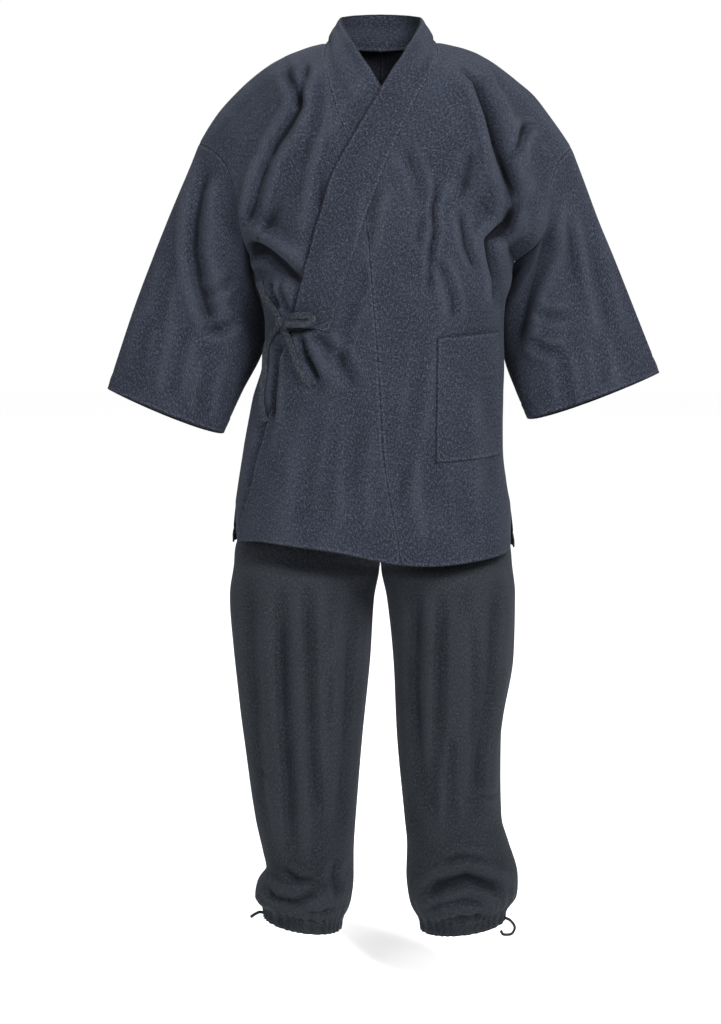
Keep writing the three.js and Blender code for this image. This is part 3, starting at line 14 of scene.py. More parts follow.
import bpy
import numpy as np
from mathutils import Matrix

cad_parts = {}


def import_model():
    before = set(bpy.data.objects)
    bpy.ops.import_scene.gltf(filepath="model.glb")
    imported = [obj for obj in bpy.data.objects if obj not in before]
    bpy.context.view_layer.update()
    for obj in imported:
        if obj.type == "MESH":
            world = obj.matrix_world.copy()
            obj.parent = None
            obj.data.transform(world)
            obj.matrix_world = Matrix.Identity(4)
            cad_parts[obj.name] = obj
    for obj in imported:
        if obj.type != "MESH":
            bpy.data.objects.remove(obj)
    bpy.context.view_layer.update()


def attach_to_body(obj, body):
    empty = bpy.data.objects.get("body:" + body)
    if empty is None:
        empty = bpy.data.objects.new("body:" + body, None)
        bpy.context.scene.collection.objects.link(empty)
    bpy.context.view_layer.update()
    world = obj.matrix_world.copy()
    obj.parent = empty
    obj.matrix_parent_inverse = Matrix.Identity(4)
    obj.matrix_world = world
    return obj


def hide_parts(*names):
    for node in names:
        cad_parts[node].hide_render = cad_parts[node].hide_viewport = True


LOG = logging.getLogger("samue")
MM = 0.001
FAR = 60.0
NEAR_STITCHES = np.array([-1.6, 0, 1.6])
Array = np.ndarray


class Side(Enum):
    """A side of the set as it is worn, with its sign along X."""

    RIGHT = -1
    LEFT = 1

    @property
    def word(self) -> str:
        """The side as it stands in a node's name."""
        return self.name.lower()


class Half(Enum):
    """The front or the back of the cloth, with its sign along Y."""

    FRONT = -1
    BACK = 1

    @property
    def word(self) -> str:
        """The half as it stands in a node's name."""
        return self.name.lower()


class Edge(Enum):
    """An edge of a cloth grid."""

    FIRST_ROW = 0
    LAST_ROW = 1
    FIRST_COLUMN = 2
    LAST_COLUMN = 3


def soft_step(low: float, high: float, value: Array) -> Array:
    """A step from 0 at low to 1 at high with soft ends."""
    t = np.clip((value - low) / (high - low), 0, 1)
    return t * t * (3 - 2 * t)


def blend(a: Array, b: Array, t: Array) -> Array:
    """The value between a and b at the share t."""
    return a + (b - a) * t


def unit(vectors: Array) -> Array:
    """The vectors at length one."""
    return vectors / np.maximum(np.linalg.norm(vectors, axis=-1, keepdims=True), 1e-9)


def through(xs: Array, ys: Array, at: Array) -> Array:
    """A smooth curve through points that never swings past one of them.

    Args:
        xs: Growing positions.
        ys: The value at each position.
        at: Where the curve is read.

    Returns:
        The curve's values, held constant beyond both ends.
    """
    secants = np.diff(ys) / np.diff(xs)
    slopes = np.empty_like(ys)
    slopes[0], slopes[-1] = secants[0], secants[-1]
    mean = (ys[2:] - ys[:-2]) / (xs[2:] - xs[:-2])
    steepest = 3 * np.minimum(np.abs(secants[:-1]), np.abs(secants[1:]))
    limited = np.sign(mean) * np.minimum(np.abs(mean), steepest)
    slopes[1:-1] = np.where(secants[:-1] * secants[1:] <= 0, 0, limited)
    at = np.clip(at, xs[0], xs[-1])
    i = np.clip(np.searchsorted(xs, at, side="left") - 1, 0, len(xs) - 2)
    width = xs[i + 1] - xs[i]
    t = (at - xs[i]) / width
    rise = ys[i + 1] - ys[i]
    bend_in = slopes[i] * width - rise
    bend_out = rise - slopes[i + 1] * width
    return blend(ys[i], ys[i + 1], t) + t * (1 - t) * ((1 - t) * bend_in + t * bend_out)


class Table:
    """Rows of named numbers that make smooth curves by their first column."""

    def __init__(self, names: str, *rows: Sequence[float]) -> None:
        """Keeps the rows in order of their first column."""
        self.names = names.split()
        self.rows = np.array(sorted(rows), dtype=float)

    def __call__(self, name: str, at: Array) -> Array:
        """The curve of a named column at some values of the first one."""
        column = self.rows[:, self.names.index(name)]
        return through(self.rows[:, 0], column, np.asarray(at, dtype=float))


FOLD_SHARPNESS = 1.9
BANK_PLACE = 1.75
FOLD_START = -0.02
FOLD_END = 0.22
HALVINGS = 22


@dataclass(frozen=True)
class Fold:
    """A crease in cloth: a trough with swollen banks, or a ridge where the depth is negative.

    The half width is taken across its line, the line is given as X and Z, and the bank is the share
    of the depth by which the cloth beside it swells.
    """

    depth: float
    half: float
    line: tuple[tuple[float, float], ...]
    bank: float = 0.4

    def relief(self, x: Array, z: Array) -> Array:
        """How deep the fold presses in at places seen from the front or from behind.

        Args:
            x: Places along X.
            z: Their heights.

        Returns:
            One depth a place.
        """
        points = np.array(self.line, dtype=float)
        spans = np.hypot(*np.diff(points, axis=0).T)
        nearest = np.full(x.shape, np.inf)
        along = np.zeros(x.shape)
        passed = 0.0
        for (ax, az), (bx, bz), span in zip(points[:-1], points[1:], spans):
            t = np.clip(((x - ax) * (bx - ax) + (z - az) * (bz - az)) / span**2, 0, 1)
            distance = np.hypot(x - blend(ax, bx, t), z - blend(az, bz, t))
            along = np.where(distance < nearest, (passed + t * span) / spans.sum(), along)
            nearest = np.minimum(nearest, distance)
            passed += span
        fade = soft_step(FOLD_START, FOLD_END, along) * soft_step(FOLD_START, FOLD_END, 1 - along)
        reach = nearest / self.half
        trough = np.exp(-FOLD_SHARPNESS * reach**2)
        banks = np.exp(-FOLD_SHARPNESS * (reach - BANK_PLACE) ** 2)
        return self.depth * fade * (trough - self.bank * banks)


def relief_of(folds: Sequence[Fold], x: Array, z: Array) -> Array:
    """The sum of the reliefs of several folds."""
    return sum((fold.relief(x, z) for fold in folds), np.zeros(x.shape))


SWELLS = np.random.default_rng(7).uniform(-1, 1, 4096)
SWELL_KEYS = (73856093, 19349663, 83492791, 40503)
SMALL_SWELL = 0.7


def unevenness(points: Array, cell: Sequence[float], seed: int) -> Array:
    """Smooth swells from -1 to 1 over points in space.

    Args:
        points: Positions in millimetres.
        cell: The size of a swell along X, Y and Z.
        seed: Which of many patterns it is.

    Returns:
        One value a point.
    """
    scaled = points / np.asarray(cell, dtype=float)
    base = np.floor(scaled).astype(np.int64)
    part = scaled - base
    smooth = part * part * (3 - 2 * part)
    value = np.zeros(points.shape[:-1])
    key_x, key_y, key_z, key_seed = SWELL_KEYS
    for corner in np.ndindex(2, 2, 2):
        step = np.array(corner)
        x, y, z = np.moveaxis(base + step, -1, 0)
        key = (x * key_x) ^ (y * key_y) ^ (z * key_z) ^ (seed * key_seed)
        weight = np.prod(np.where(step == 1, smooth, 1 - smooth), axis=-1)
        value += weight * SWELLS[key % len(SWELLS)]
    return value


def swells(points: Array, height: float, broad: Sequence[float], small: Sequence[float], seed: int) -> Array:
    """The cloth's soft unevenness: broad swells of some height and small ones over them.

    Args:
        points: Positions in millimetres.
        height: The height of the broad swells.
        broad: The size of a broad swell along X, Y and Z.
        small: The size of a small one.
        seed: The pattern of the broad ones; the small ones take the next.

    Returns:
        One height a point.
    """
    return height * unevenness(points, broad, seed) + SMALL_SWELL * unevenness(points, small, seed + 1)


CLOSE_TO_END = 0.2


def spaced(lengths: Sequence[float], pitch: float, also: Sequence[float] = ()) -> Array:
    """Places along a series of steps, about a pitch apart and close at both ends, counted in steps.

    Args:
        lengths: The length of each step.
        pitch: The distance wanted between two places.
        also: More places, counted in steps.

    Returns:
        The growing places.
    """
    counts = [max(1, round(length / pitch)) for length in lengths]
    places = [i + np.arange(count) / count for i, count in enumerate(counts)]
    last = float(len(lengths))
    close = [CLOSE_TO_END / counts[0], last - CLOSE_TO_END / counts[-1]]
    return np.unique(np.concatenate([*places, [last], close, also]))


JACKET_FRONT_FOLDS = (
    Fold(11.2, 9, ((-140, -30), (-127, -62), (-117, -96), (-132, -122), (-150, -147), (-168, -186))),
    Fold(8.4, 8, ((-106, -30), (-112, -62), (-117, -96))),
    Fold(9.8, 10, ((-160, -165), (-173, -200), (-181, -236), (-193, -268))),
    Fold(-9.8, 15, ((-196, -258), (-166, -276), (-140, -294), (-108, -312)), 0.1),
    Fold(19, 12, ((-194, -288), (-168, -300), (-144, -318), (-116, -346)), 0.2),
    Fold(7, 12, ((-186, -322), (-160, -330), (-136, -350))),
    Fold(3.6, 10, ((-90, -60), (-96, -130), (-118, -196))),
    # Troughs beside the tie tapes and under the knot and loop; the painted shade on hollows darkens them.
    Fold(8.5, 5.5, ((-147, -414), (-151, -440), (-154, -470), (-158, -505), (-158, -546)), 0.35),
    Fold(8, 6, ((-119, -410), (-110, -438), (-99, -464), (-88, -484)), 0.35),
    Fold(7.5, 5, ((-164, -336), (-155, -360), (-146, -384)), 0.4),
    Fold(6, 5, ((-150, -342), (-141, -366), (-136, -388)), 0.4),
    Fold(7, 5, ((-152, -410), (-140, -415), (-124, -412), (-92, -408)), 0.3),
    Fold(3.6, 9, ((-70, -130), (-88, -190), (-92, -246))),
    Fold(21, 10, ((110, -34), (136, -54), (155, -105), (166, -154), (182, -208), (186, -240)), 0.35),
    Fold(-7, 14, ((160, -70), (182, -120), (204, -176), (214, -236)), 0.2),
    Fold(17, 10, ((190, -226), (177, -264), (156, -284), (159, -304), (168, -336), (172, -384)), 0.3),
    Fold(8.4, 9, ((214, -110), (196, -140), (178, -176))),
    Fold(5.4, 5.5, ((80, -182), (77, -216), (73, -248), (76, -270), (70, -298), (67, -372)), 0.42),
    Fold(3.6, 6, ((50, -296), (53, -271), (60, -246)), 0.42),
    Fold(5.4, 6.5, ((111, -236), (115, -262), (120, -292), (130, -314), (140, -330)), 0.42),
    Fold(4.8, 8, ((72, -304), (92, -336), (102, -370), (104, -404)), 0.42),
    Fold(3.6, 9, ((-22, -306), (-30, -350), (-46, -412)), 0.42),
    Fold(2.6, 8, ((-42, -346), (-50, -400), (-56, -470)), 0.5),
    Fold(4.2, 10, ((-4, -204), (-16, -244), (-24, -310)), 0.5),
    Fold(3, 11, ((22, -690), (43, -557), (58, -450), (66, -380)), 0.42),
    Fold(-3.5, 18, ((34, -540), (52, -640), (62, -730)), 0.2),
    Fold(2.5, 12, ((-88, -500), (-104, -590), (-118, -700)), 0.42),
    Fold(2.6, 12, ((-30, -520), (-38, -610), (-40, -710)), 0.5),
    Fold(2.2, 11, ((112, -600), (120, -660), (126, -730)), 0.42),
    Fold(3.5, 12, ((150, -470), (158, -560), (164, -660)), 0.5),
    Fold(4.3, 11, ((-118, -410), (-92, -424), (-56, -452), (-30, -500)), 0.5),
    Fold(3.5, 10, ((-120, -430), (-100, -460), (-84, -510)), 0.5),
    Fold(3.6, 9, ((30, -150), (52, -200), (58, -240)), 0.5),
    Fold(3.6, 11, ((128, -150), (120, -200), (108, -240)), 0.5),
    Fold(2.6, 10, ((-150, -440), (-160, -520), (-176, -600)), 0.5),
)
JACKET_BACK_FOLDS = (
    Fold(11.2, 13, ((-112, -46), (-134, -110), (-158, -170), (-178, -240)), 0.5),
    Fold(11.2, 13, ((116, -48), (142, -112), (164, -172), (184, -244)), 0.5),
    Fold(7, 12, ((-186, -262), (-150, -300), (-104, -322))),
    Fold(7, 12, ((190, -266), (158, -298), (112, -330))),
    Fold(7, 14, ((-62, -170), (-72, -270), (-66, -360), (-54, -470))),
    Fold(7, 14, ((70, -190), (76, -290), (66, -380), (58, -500))),
    Fold(8.4, 12, ((-176, -350), (-130, -384), (-70, -402), (-20, -404))),
    Fold(8.4, 12, ((180, -352), (134, -380), (80, -402), (26, -408))),
    Fold(7, 12, ((-170, -400), (-120, -430), (-60, -440))),
    Fold(7, 12, ((174, -404), (128, -434), (66, -446))),
    Fold(-7, 22, ((-118, -500), (-130, -620), (-138, -740)), 0.3),
    Fold(-7, 22, ((108, -500), (120, -620), (128, -740)), 0.3),
    Fold(5.6, 13, ((-70, -520), (-76, -620), (-84, -730))),
    Fold(5.6, 13, ((56, -530), (66, -630), (70, -734))),
    Fold(5.6, 12, ((-20, -60), (-26, -130), (-34, -190))),
    Fold(5.6, 12, ((30, -64), (34, -130), (44, -196))),
)


@dataclass
class Torso:
    """The jacket's body as one surface: across runs from -1 at the right side to 1 at the left."""

    length: float = 828
    armhole_run: float = 240
    slit_run: float = 730
    slit_opening: float = 9
    slit_front: float = -1.6
    slit_back: float = 0.5
    layer: float = 8
    round_from: float = 200
    droop: float = 2.9
    lower_droop: float = 2
    droop_runs: tuple[float, float] = (100, 350)
    across_step: float = 0.01
    run_step: float = 4
    side_fade: float = 0.1
    shoulder_fade: float = 45
    swell: float = 1.3
    broad_swell: tuple[float, float, float] = (46, 46, 84)
    small_swell: tuple[float, float, float] = (20, 20, 34)
    swell_seed: int = 1
    swell_fade: float = 0.06
    hem_lift_run: float = 480
    under_hem_lift: float = 6
    cover_fade: float = 0.14
    middle: Table = field(default_factory=lambda: Table(
        "run y z square",
        (-828, -146, -747, 2.3), (-760, -141, -679, 2.3), (-680, -137, -599, 2.3), (-600, -134, -519, 2.3),
        (-520, -132, -439, 2.35), (-440, -133, -359, 2.4), (-360, -135, -279, 2.4), (-280, -134, -199, 2.3),
        (-210, -127, -130, 2.2), (-150, -113, -72, 2.1), (-100, -87, -29, 2), (-60, -56, -6, 2),
        (-25, -25, 5, 2), (0, 0, 7, 2), (25, 25, 7, 2), (60, 58, 2, 2), (100, 88, -21, 2),
        (150, 108, -66, 2.1), (210, 116, -125, 2.2), (280, 120, -195, 2.3), (360, 122, -275, 2.4),
        (440, 125, -355, 2.4), (520, 130, -435, 2.35), (600, 136, -515, 2.3), (680, 140, -595, 2.3),
        (760, 143, -675, 2.3), (828, 146, -744, 2.3),
    ))
    armhole: Table = field(default_factory=lambda: Table(
        "run y right_x right_z left_x left_z",
        (-240, 5, -191, -314, 196, -314), (-190, -52, -202, -272, 226, -288),
        (-140, -70, -208, -224, 238, -250), (-90, -62, -222, -177, 243, -208),
        (-40, -36, -245, -152, 257, -170), (0, 0, -266, -141, 279, -147), (40, 33, -245, -152, 257, -170),
        (90, 55, -222, -177, 243, -208), (140, 62, -208, -224, 238, -250), (190, 50, -202, -272, 226, -288),
        (240, 5, -191, -314, 196, -314),
    ))
    side_seam: Table = field(default_factory=lambda: Table(
        "run y right_x right_z left_x left_z",
        (240, 5, -191, -314, 196, -314), (300, 2, -179, -358, 186, -356), (360, 0, -171, -404, 182, -404),
        (440, -2, -173, -458, 183, -458), (520, -2, -189, -514, 182, -516), (600, 0, -201, -574, 181, -576),
        (680, 0, -211, -632, 186, -632), (760, 0, -219, -686, 197, -686), (828, 0, -223, -730, 203, -738),
    ))
    hem_lift: Table = field(default_factory=lambda: Table(
        "across lift",
        (-1, 8), (-0.76, 20), (-0.58, 27), (-0.36, 25), (-0.17, 20), (0, 9), (0.1, 4), (0.3, 0), (0.75, 3),
        (1, 4),
    ))
    over_edge: tuple[tuple[float, float], ...] = (
        (47, 9), (32, -17), (16, -42), (-1, -71), (0, -69), (-20, -104), (-41, -140), (-72, -198),
        (-89, -255), (-109, -329), (-122, -379), (-131, -408), (-147, -463), (-157, -505), (-167, -545),
        (-180, -599), (-197, -665), (-211, -735),
    )
    cover: Table | None = None

    def __post_init__(self) -> None:
        """Works out where the over front's free edge runs on the surface."""
        x, z = np.array(self.over_edge, dtype=float).T
        across, run = self.on_front(x, z)
        self.cover = Table("run across", *zip(run, across))

    def edge(self, side: Side, run: Array) -> tuple[Array, Array, Array]:
        """The side edge of a front or back panel, with the slit above the hem, as x, y and z.

        Args:
            side: The side.
            run: The distance along the cloth.

        Returns:
            The edge as X, Y and Z.
        """
        down = np.abs(run)
        upper = down <= self.armhole_run

        def read(column: str) -> Array:
            """A column of the armhole's or of the side seam's table."""
            return np.where(upper, self.armhole(column, run), self.side_seam(column, down))

        opening = self.slit_opening * np.maximum(0, (down - self.slit_run) / (self.length - self.slit_run))
        front = run < 0
        x = read(f"{side.word}_x") - np.where(front, side.value * opening, 0)
        y = read("y") + np.where(front, self.slit_front, self.slit_back) * opening
        return x, y, read(f"{side.word}_z")

    def share_out(self, across: Array, run: Array) -> Array:
        """How far out sideways a share across lies, as a share of the half width."""
        t = np.minimum(1, np.abs(across))
        return blend(t, np.sin(t * math.pi / 2), soft_step(0, self.round_from, np.abs(run)))

    def base(self, across: Array, run: Array) -> Array:
        """Points of the smooth form.

        Args:
            across: The share across.
            run: The distance along the cloth.

        Returns:
            The points.
        """
        across, run = np.broadcast_arrays(across, run)
        right, left = self.edge(Side.RIGHT, run), self.edge(Side.LEFT, run)
        x, y, z = (np.where(across < 0, low, high) for low, high in zip(right, left))
        out = self.share_out(across, run)
        square = self.middle("square", run)
        forward = np.maximum(0, 1 - out**square) ** (1 / square)
        droop = blend(self.droop, self.lower_droop, soft_step(*self.droop_runs, np.abs(run)))
        height = blend(self.middle("z", run), z, out**droop)
        return np.stack([x * out, blend(y, self.middle("y", run), forward), height], axis=-1)

    def base_normal(self, across: Array, run: Array) -> Array:
        """The unit normals of the smooth form, by small steps.

        Args:
            across: The share across.
            run: The distance along the cloth.

        Returns:
            The normals.
        """
        low_a = np.maximum(-1, across - self.across_step)
        high_a = np.minimum(1, across + self.across_step)
        low_r = np.maximum(-self.length, run - self.run_step)
        high_r = np.minimum(self.length, run + self.run_step)
        along_a = self.base(high_a, run) - self.base(low_a, run)
        along_r = self.base(across, high_r) - self.base(across, low_r)
        return unit(np.cross(along_a, along_r))

    def on_front(self, x: Array, z: Array) -> tuple[Array, Array]:
        """The share across and the run of places given as seen from the front.

        Args:
            x: Places along X.
            z: Their heights.

        Returns:
            The shares across and the runs.
        """
        x, z = np.broadcast_arrays(np.asarray(x, dtype=float), np.asarray(z, dtype=float))

        def across_at(run: Array) -> Array:
            """The share across that has the wanted x at a run.

            Args:
                run: The distance along the cloth.

            Returns:
                The shares across.
            """
            edge_x = np.where(x < 0, self.edge(Side.RIGHT, run)[0], self.edge(Side.LEFT, run)[0])
            wanted = np.minimum(1, np.abs(x / edge_x))
            low, high = np.zeros(x.shape), np.ones(x.shape)
            for _ in range(HALVINGS):
                half = (low + high) / 2
                short = self.share_out(half, run) < wanted
                low, high = np.where(short, half, low), np.where(short, high, half)
            return low * np.where(x < 0, -1, 1)

        low, high = np.full(x.shape, -self.length), np.zeros(x.shape)
        for _ in range(HALVINGS):
            half = (low + high) / 2
            short = self.base(across_at(half), half)[..., 2] < z
            low, high = np.where(short, half, low), np.where(short, high, half)
        return across_at(low), low

    def path(self, points: Sequence[tuple[float, float]]) -> Table:
        """A smooth path of across and run by height through places seen from the front.

        Args:
            points: Places as X and Z.

        Returns:
            The path.
        """
        x, z = np.array(points, dtype=float).T
        across, run = self.on_front(x, z)
        return Table("z across run", *zip(z, across, run))

    def covered(self, across: Array, run: Array) -> Array:
        """How far the over front covers a place: 0 is bare and 1 is covered.

        Args:
            across: The share across.
            run: The distance along the cloth.

        Returns:
            One share a place.
        """
        edge = self.cover("across", run)
        fade = np.minimum(self.cover_fade, 1 + edge)
        t = np.clip((across - edge + fade) / fade, 0, 1)
        return t * t * (3 - 2 * t)

    def point(self, across: Array, run: Array, lift: Array = 0.0, under: bool = False) -> Array:
        """Points at a height above the outer face, over or under the wrap.

        Args:
            across: The share across.
            run: The distance along the cloth.
            lift: How far the points stand off the outer face.
            under: Whether they belong to the under front.

        Returns:
            The points.
        """
        across, run = np.broadcast_arrays(np.asarray(across, dtype=float), np.asarray(run, dtype=float))
        point = self.base(across, run)
        x, z = point[..., 0], point[..., 2]
        front = run < 0
        folds = np.where(front, relief_of(JACKET_FRONT_FOLDS, x, z), relief_of(JACKET_BACK_FOLDS, x, z))
        inward = 1 - np.abs(across)
        fold_fade = soft_step(0, self.side_fade, inward) * soft_step(0, self.shoulder_fade, np.abs(run))
        swell = swells(point, self.swell, self.broad_swell, self.small_swell, self.swell_seed)
        swell_fade = soft_step(0, self.swell_fade, inward)
        sunk = self.layer * self.covered(across, run) * front if under else 0
        height = lift - sunk - fold_fade * folds + swell_fade * swell
        return point + self.base_normal(across, run) * np.asarray(height)[..., None]

    def lifted(self, across: Array, run: Array, under: bool) -> Array:
        """The run of a place on the front once the wrap has lifted the hem.

        Args:
            across: The share across.
            run: The distance along the cloth.
            under: Whether it belongs to the under front.

        Returns:
            The lifted run.
        """
        share = np.clip((-run - self.hem_lift_run) / (self.length - self.hem_lift_run), 0, 1)
        more = self.under_hem_lift * self.covered(across, run) if under else 0
        return run + (self.hem_lift("lift", across) + more) * share**2


@dataclass
class Shell:
    """A thin cloth wall on a grid of points, with its cloth coordinates and its sewn lines.

    A hem's number is the distance from the edge to its stitches. The cells that kept leaves out
    are open, and a wrapped grid joins its last column to its first.
    """

    name: str
    points: Array
    thickness: float = 1.6
    wrapped: bool = False
    kept: Array | None = None
    seams: tuple[Edge, ...] = ()
    hems: dict[Edge, float] = field(default_factory=dict)
    blur: int = 22
    seam_press: float = 0.8
    seam_reach: float = 2.4
    stitch_press: float = 0.6
    stitch_reach: float = 1.8
    hem_step: float = 1.2
    hem_rise: float = 0.3
    hem_extra: float = 0.9
    pucker: float = 0.35
    pucker_rate: float = 0.62
    pucker_lean: float = 0.6
    drift: float = 1.5
    drift_rate: float = 0.05
    rim: float = 0.35

    def normals(self) -> Array:
        """The outward unit normals of the grid.

        Returns:
            One normal a point.
        """
        along_rows = np.gradient(self.points, axis=0)
        if self.wrapped:
            along_columns = np.roll(self.points, -1, axis=1) - np.roll(self.points, 1, axis=1)
            away = self.points - self.points.mean(axis=1, keepdims=True)
        else:
            along_columns = np.gradient(self.points, axis=1)
            away = self.points * (1, 1, 0)
        normals = unit(np.cross(along_columns, along_rows))
        return normals * np.sign((normals * away).sum())

    def hollows(self) -> Array:
        """How far each place lies in from the cloth around it.

        Returns:
            One depth a point, negative on a ridge.
        """
        around = self.points
        for _ in range(self.blur):
            ends = np.pad(around, ((1, 1), (0, 0), (0, 0)), mode="reflect", reflect_type="odd")
            around = (ends[:-2] + 2 * around + ends[2:]) / 4
            sides = ((0, 0), (1, 1), (0, 0))
            if self.wrapped:
                ends = np.pad(around, sides, mode="wrap")
            else:
                ends = np.pad(around, sides, mode="reflect", reflect_type="odd")
            around = (ends[:, :-2] + 2 * around + ends[:, 2:]) / 4
        return ((around - self.points) * self.normals()).sum(axis=-1)

    def measure(self) -> tuple[Array, Array]:
        """The cloth's own coordinates: the distances along its rows and down its columns.

        Returns:
            Both distances at each point, with the closing column where the grid is wrapped.
        """
        closed = np.concatenate([self.points, self.points[:, :1]], axis=1) if self.wrapped else self.points
        u, v = np.zeros(closed.shape[:2]), np.zeros(closed.shape[:2])
        u[:, 1:] = np.cumsum(np.linalg.norm(np.diff(closed, axis=1), axis=-1), axis=1)
        v[1:] = np.cumsum(np.linalg.norm(np.diff(closed, axis=0), axis=-1), axis=0)
        return u, v

    def sewn(self, u: Array, v: Array) -> dict[str, Array]:
        """What sewing does to each place: how deep it presses, how thick it is, where stitches run.

        Args:
            u: The distances along the rows.
            v: The distances down the columns.

        Returns:
            The values by name.
        """
        from_edge = {
            Edge.FIRST_ROW: v,
            Edge.LAST_ROW: v[-1:] - v,
            Edge.FIRST_COLUMN: u,
            Edge.LAST_COLUMN: u[:, -1:] - u,
        }
        far = np.full(u.shape, FAR)
        lines = {"stitch": far, "seam": far, "along": v, "press": 0 * u, "thick": 0 * u + self.thickness}
        for edge in self.seams:
            distance = from_edge[edge]
            lines["press"] = lines["press"] + self.seam_press * np.exp(-((distance / self.seam_reach) ** 2))
            lines["seam"] = np.minimum(lines["seam"], distance)
        for edge, depth in self.hems.items():
            distance = from_edge[edge]
            line = np.abs(distance - depth)
            inside = soft_step(-self.hem_step, self.hem_step, depth - distance)
            aslant = u + v + self.pucker_lean * distance
            drift = self.drift * np.sin(self.drift_rate * (u + v))
            pucker = self.pucker * inside * np.sin(aslant * self.pucker_rate + drift)
            sunk = self.stitch_press * np.exp(-((line / self.stitch_reach) ** 2))
            lines["press"] = lines["press"] + sunk - self.hem_rise * inside - pucker
            lines["thick"] = lines["thick"] + self.hem_extra * inside
            across_rows = edge in (Edge.FIRST_ROW, Edge.LAST_ROW)
            lines["along"] = np.where(line < lines["stitch"], u if across_rows else v, lines["along"])
            lines["stitch"] = np.minimum(lines["stitch"], line)
            lines["seam"] = np.minimum(lines["seam"], distance)
        return lines

    def build(self, nodes: Sequence[str], material: bpy.types.Material) -> bpy.types.Object:
        """Makes the cloth, with its coordinates and attributes, in place of its nodes.

        Args:
            nodes: The solids that it stands for.
            material: The cloth's material.

        Returns:
            The new object, riding on the root body.
        """
        u, v = self.measure()
        lines = self.sewn(u, v)
        cut = slice(None, -1) if self.wrapped else slice(None)
        normals = self.normals()
        outer = self.points - normals * lines["press"][:, cut, None]
        inner = outer - normals * lines["thick"][:, cut, None]
        vertices, faces, source = self.wall(outer, inner, normals)
        mesh = mesh_of(self.name, vertices, faces)
        flat = np.stack([u[:, cut].reshape(-1)[source], v[:, cut].reshape(-1)[source]], axis=-1)
        turn = u[:, -1:].repeat(u[:, cut].shape[1], axis=1).reshape(-1)[source]
        put_coordinates(mesh, flat, turn if self.wrapped else None)
        for name in ("stitch", "along", "seam"):
            put_attribute(mesh, name, lines[name][:, cut].reshape(-1)[source])
        # The hollow depth drives the painted shade in troughs and the painted highlight on ridges.
        put_attribute(mesh, "hollow", self.hollows().reshape(-1)[source])
        return attach(self.name, nodes, mesh, material)

    def wall(self, outer: Array, inner: Array, normals: Array) -> tuple[Array, Array, Array]:
        """The closed wall: its vertices, its faces and the grid place of each vertex.

        Args:
            outer: The points of the outer face.
            inner: The points of the inner face.
            normals: The outward normals.

        Returns:
            The three of them, as arrays.
        """
        rows, columns = outer.shape[:2]
        total = rows * columns
        index = np.arange(total).reshape(rows, columns)
        left = index if self.wrapped else index[:, :-1]
        right = np.roll(index, -1, axis=1) if self.wrapped else index[:, 1:]
        quads = np.stack([left[:-1], right[:-1], right[1:], left[1:]], axis=-1)
        quads = (quads if self.kept is None else quads[self.kept]).reshape(-1, 4)
        sides = np.concatenate([quads[:, [i, (i + 1) % 4]] for i in range(4)])
        key = sides.min(axis=1) * total + sides.max(axis=1)
        _, first, times = np.unique(key, return_index=True, return_counts=True)
        a, b = sides[first[times == 1]].T
        outer, inner, normals = (grid.reshape(-1, 3) for grid in (outer, inner, normals))
        corner = outer[quads]
        spin = np.cross(corner[:, 1] - corner[:, 0], corner[:, 3] - corner[:, 0])
        turn = np.sign((spin * normals[quads[:, 0]]).sum())
        away = np.zeros_like(outer)
        for end in (a, b):
            np.add.at(away, end, turn * np.cross(outer[b] - outer[a], normals[a]))
        rim = np.unique(np.concatenate([a, b]))
        middle = np.full(total, -1)
        middle[rim] = 2 * total + np.arange(len(rim))
        bulge = np.linalg.norm(outer[rim] - inner[rim], axis=-1, keepdims=True) * self.rim
        faces = np.concatenate([
            quads,
            quads[:, ::-1] + total,
            np.stack([b, a, middle[a], middle[b]], axis=-1),
            np.stack([middle[b], middle[a], a + total, b + total], axis=-1),
        ])
        edge = (outer[rim] + inner[rim]) / 2 + unit(away[rim]) * bulge
        vertices = np.concatenate([outer, inner, edge])
        source = np.concatenate([np.arange(total), np.arange(total), rim])
        used = np.unique(faces)
        renumbered = np.full(len(vertices), -1)
        renumbered[used] = np.arange(len(used))
        return vertices[used], renumbered[faces], source[used]

    def declare(
        self, rests_on: Sequence[str]
    ) -> None:
        """Args:
            rests_on: What it hangs from or lies on; not used.
        """
        u, v = self.measure()
        grid = self.points
        along = np.roll(grid, -1, axis=1) - grid if self.wrapped else np.diff(grid, axis=1)
        down = np.diff(grid, axis=0)
        down = down if self.wrapped else down[:, :-1]
        cells = np.linalg.norm(np.cross(along[:-1], down), axis=-1)
        area = cells.sum() if self.kept is None else cells[self.kept].sum()
        width, length = u[:, -1].max() * MM, v[-1].max() * MM
        share = min(area * MM * MM, width * length)
        LOG.info("%s: cut %.0f x %.0f mm, %.3f m2", self.name, width / MM, length / MM, share)


def put_coordinates(mesh: bpy.types.Mesh, flat: Array, turn: Array | None) -> None:
    """Gives a mesh its cloth coordinates in metres.

    Args:
        mesh: The mesh.
        flat: The cloth coordinates of each vertex in millimetres.
        turn: The way round at each vertex, where the cloth closes on itself.
    """
    loops = np.empty(len(mesh.loops), dtype=np.int32)
    mesh.loops.foreach_get("vertex_index", loops)
    corner = flat[loops].reshape(-1, 4, 2)
    if turn is not None:
        round_off = turn[loops].reshape(-1, 4)
        crosses = np.ptp(corner[..., 0], axis=1)[:, None] > round_off / 2
        corner[..., 0] += np.where(crosses & (corner[..., 0] < round_off / 2), round_off, 0)
    layer = mesh.uv_layers.new(name="cloth")
    layer.data.foreach_set("uv", (corner * MM).astype(np.float32).reshape(-1))


def put_attribute(mesh: bpy.types.Mesh, name: str, values: Array) -> None:
    """Gives every vertex of a mesh a distance, kept in metres."""
    attribute = mesh.attributes.new(name, "FLOAT", "POINT")
    attribute.data.foreach_set("value", (values * MM).astype(np.float32))


SHARP_ANGLE = 70


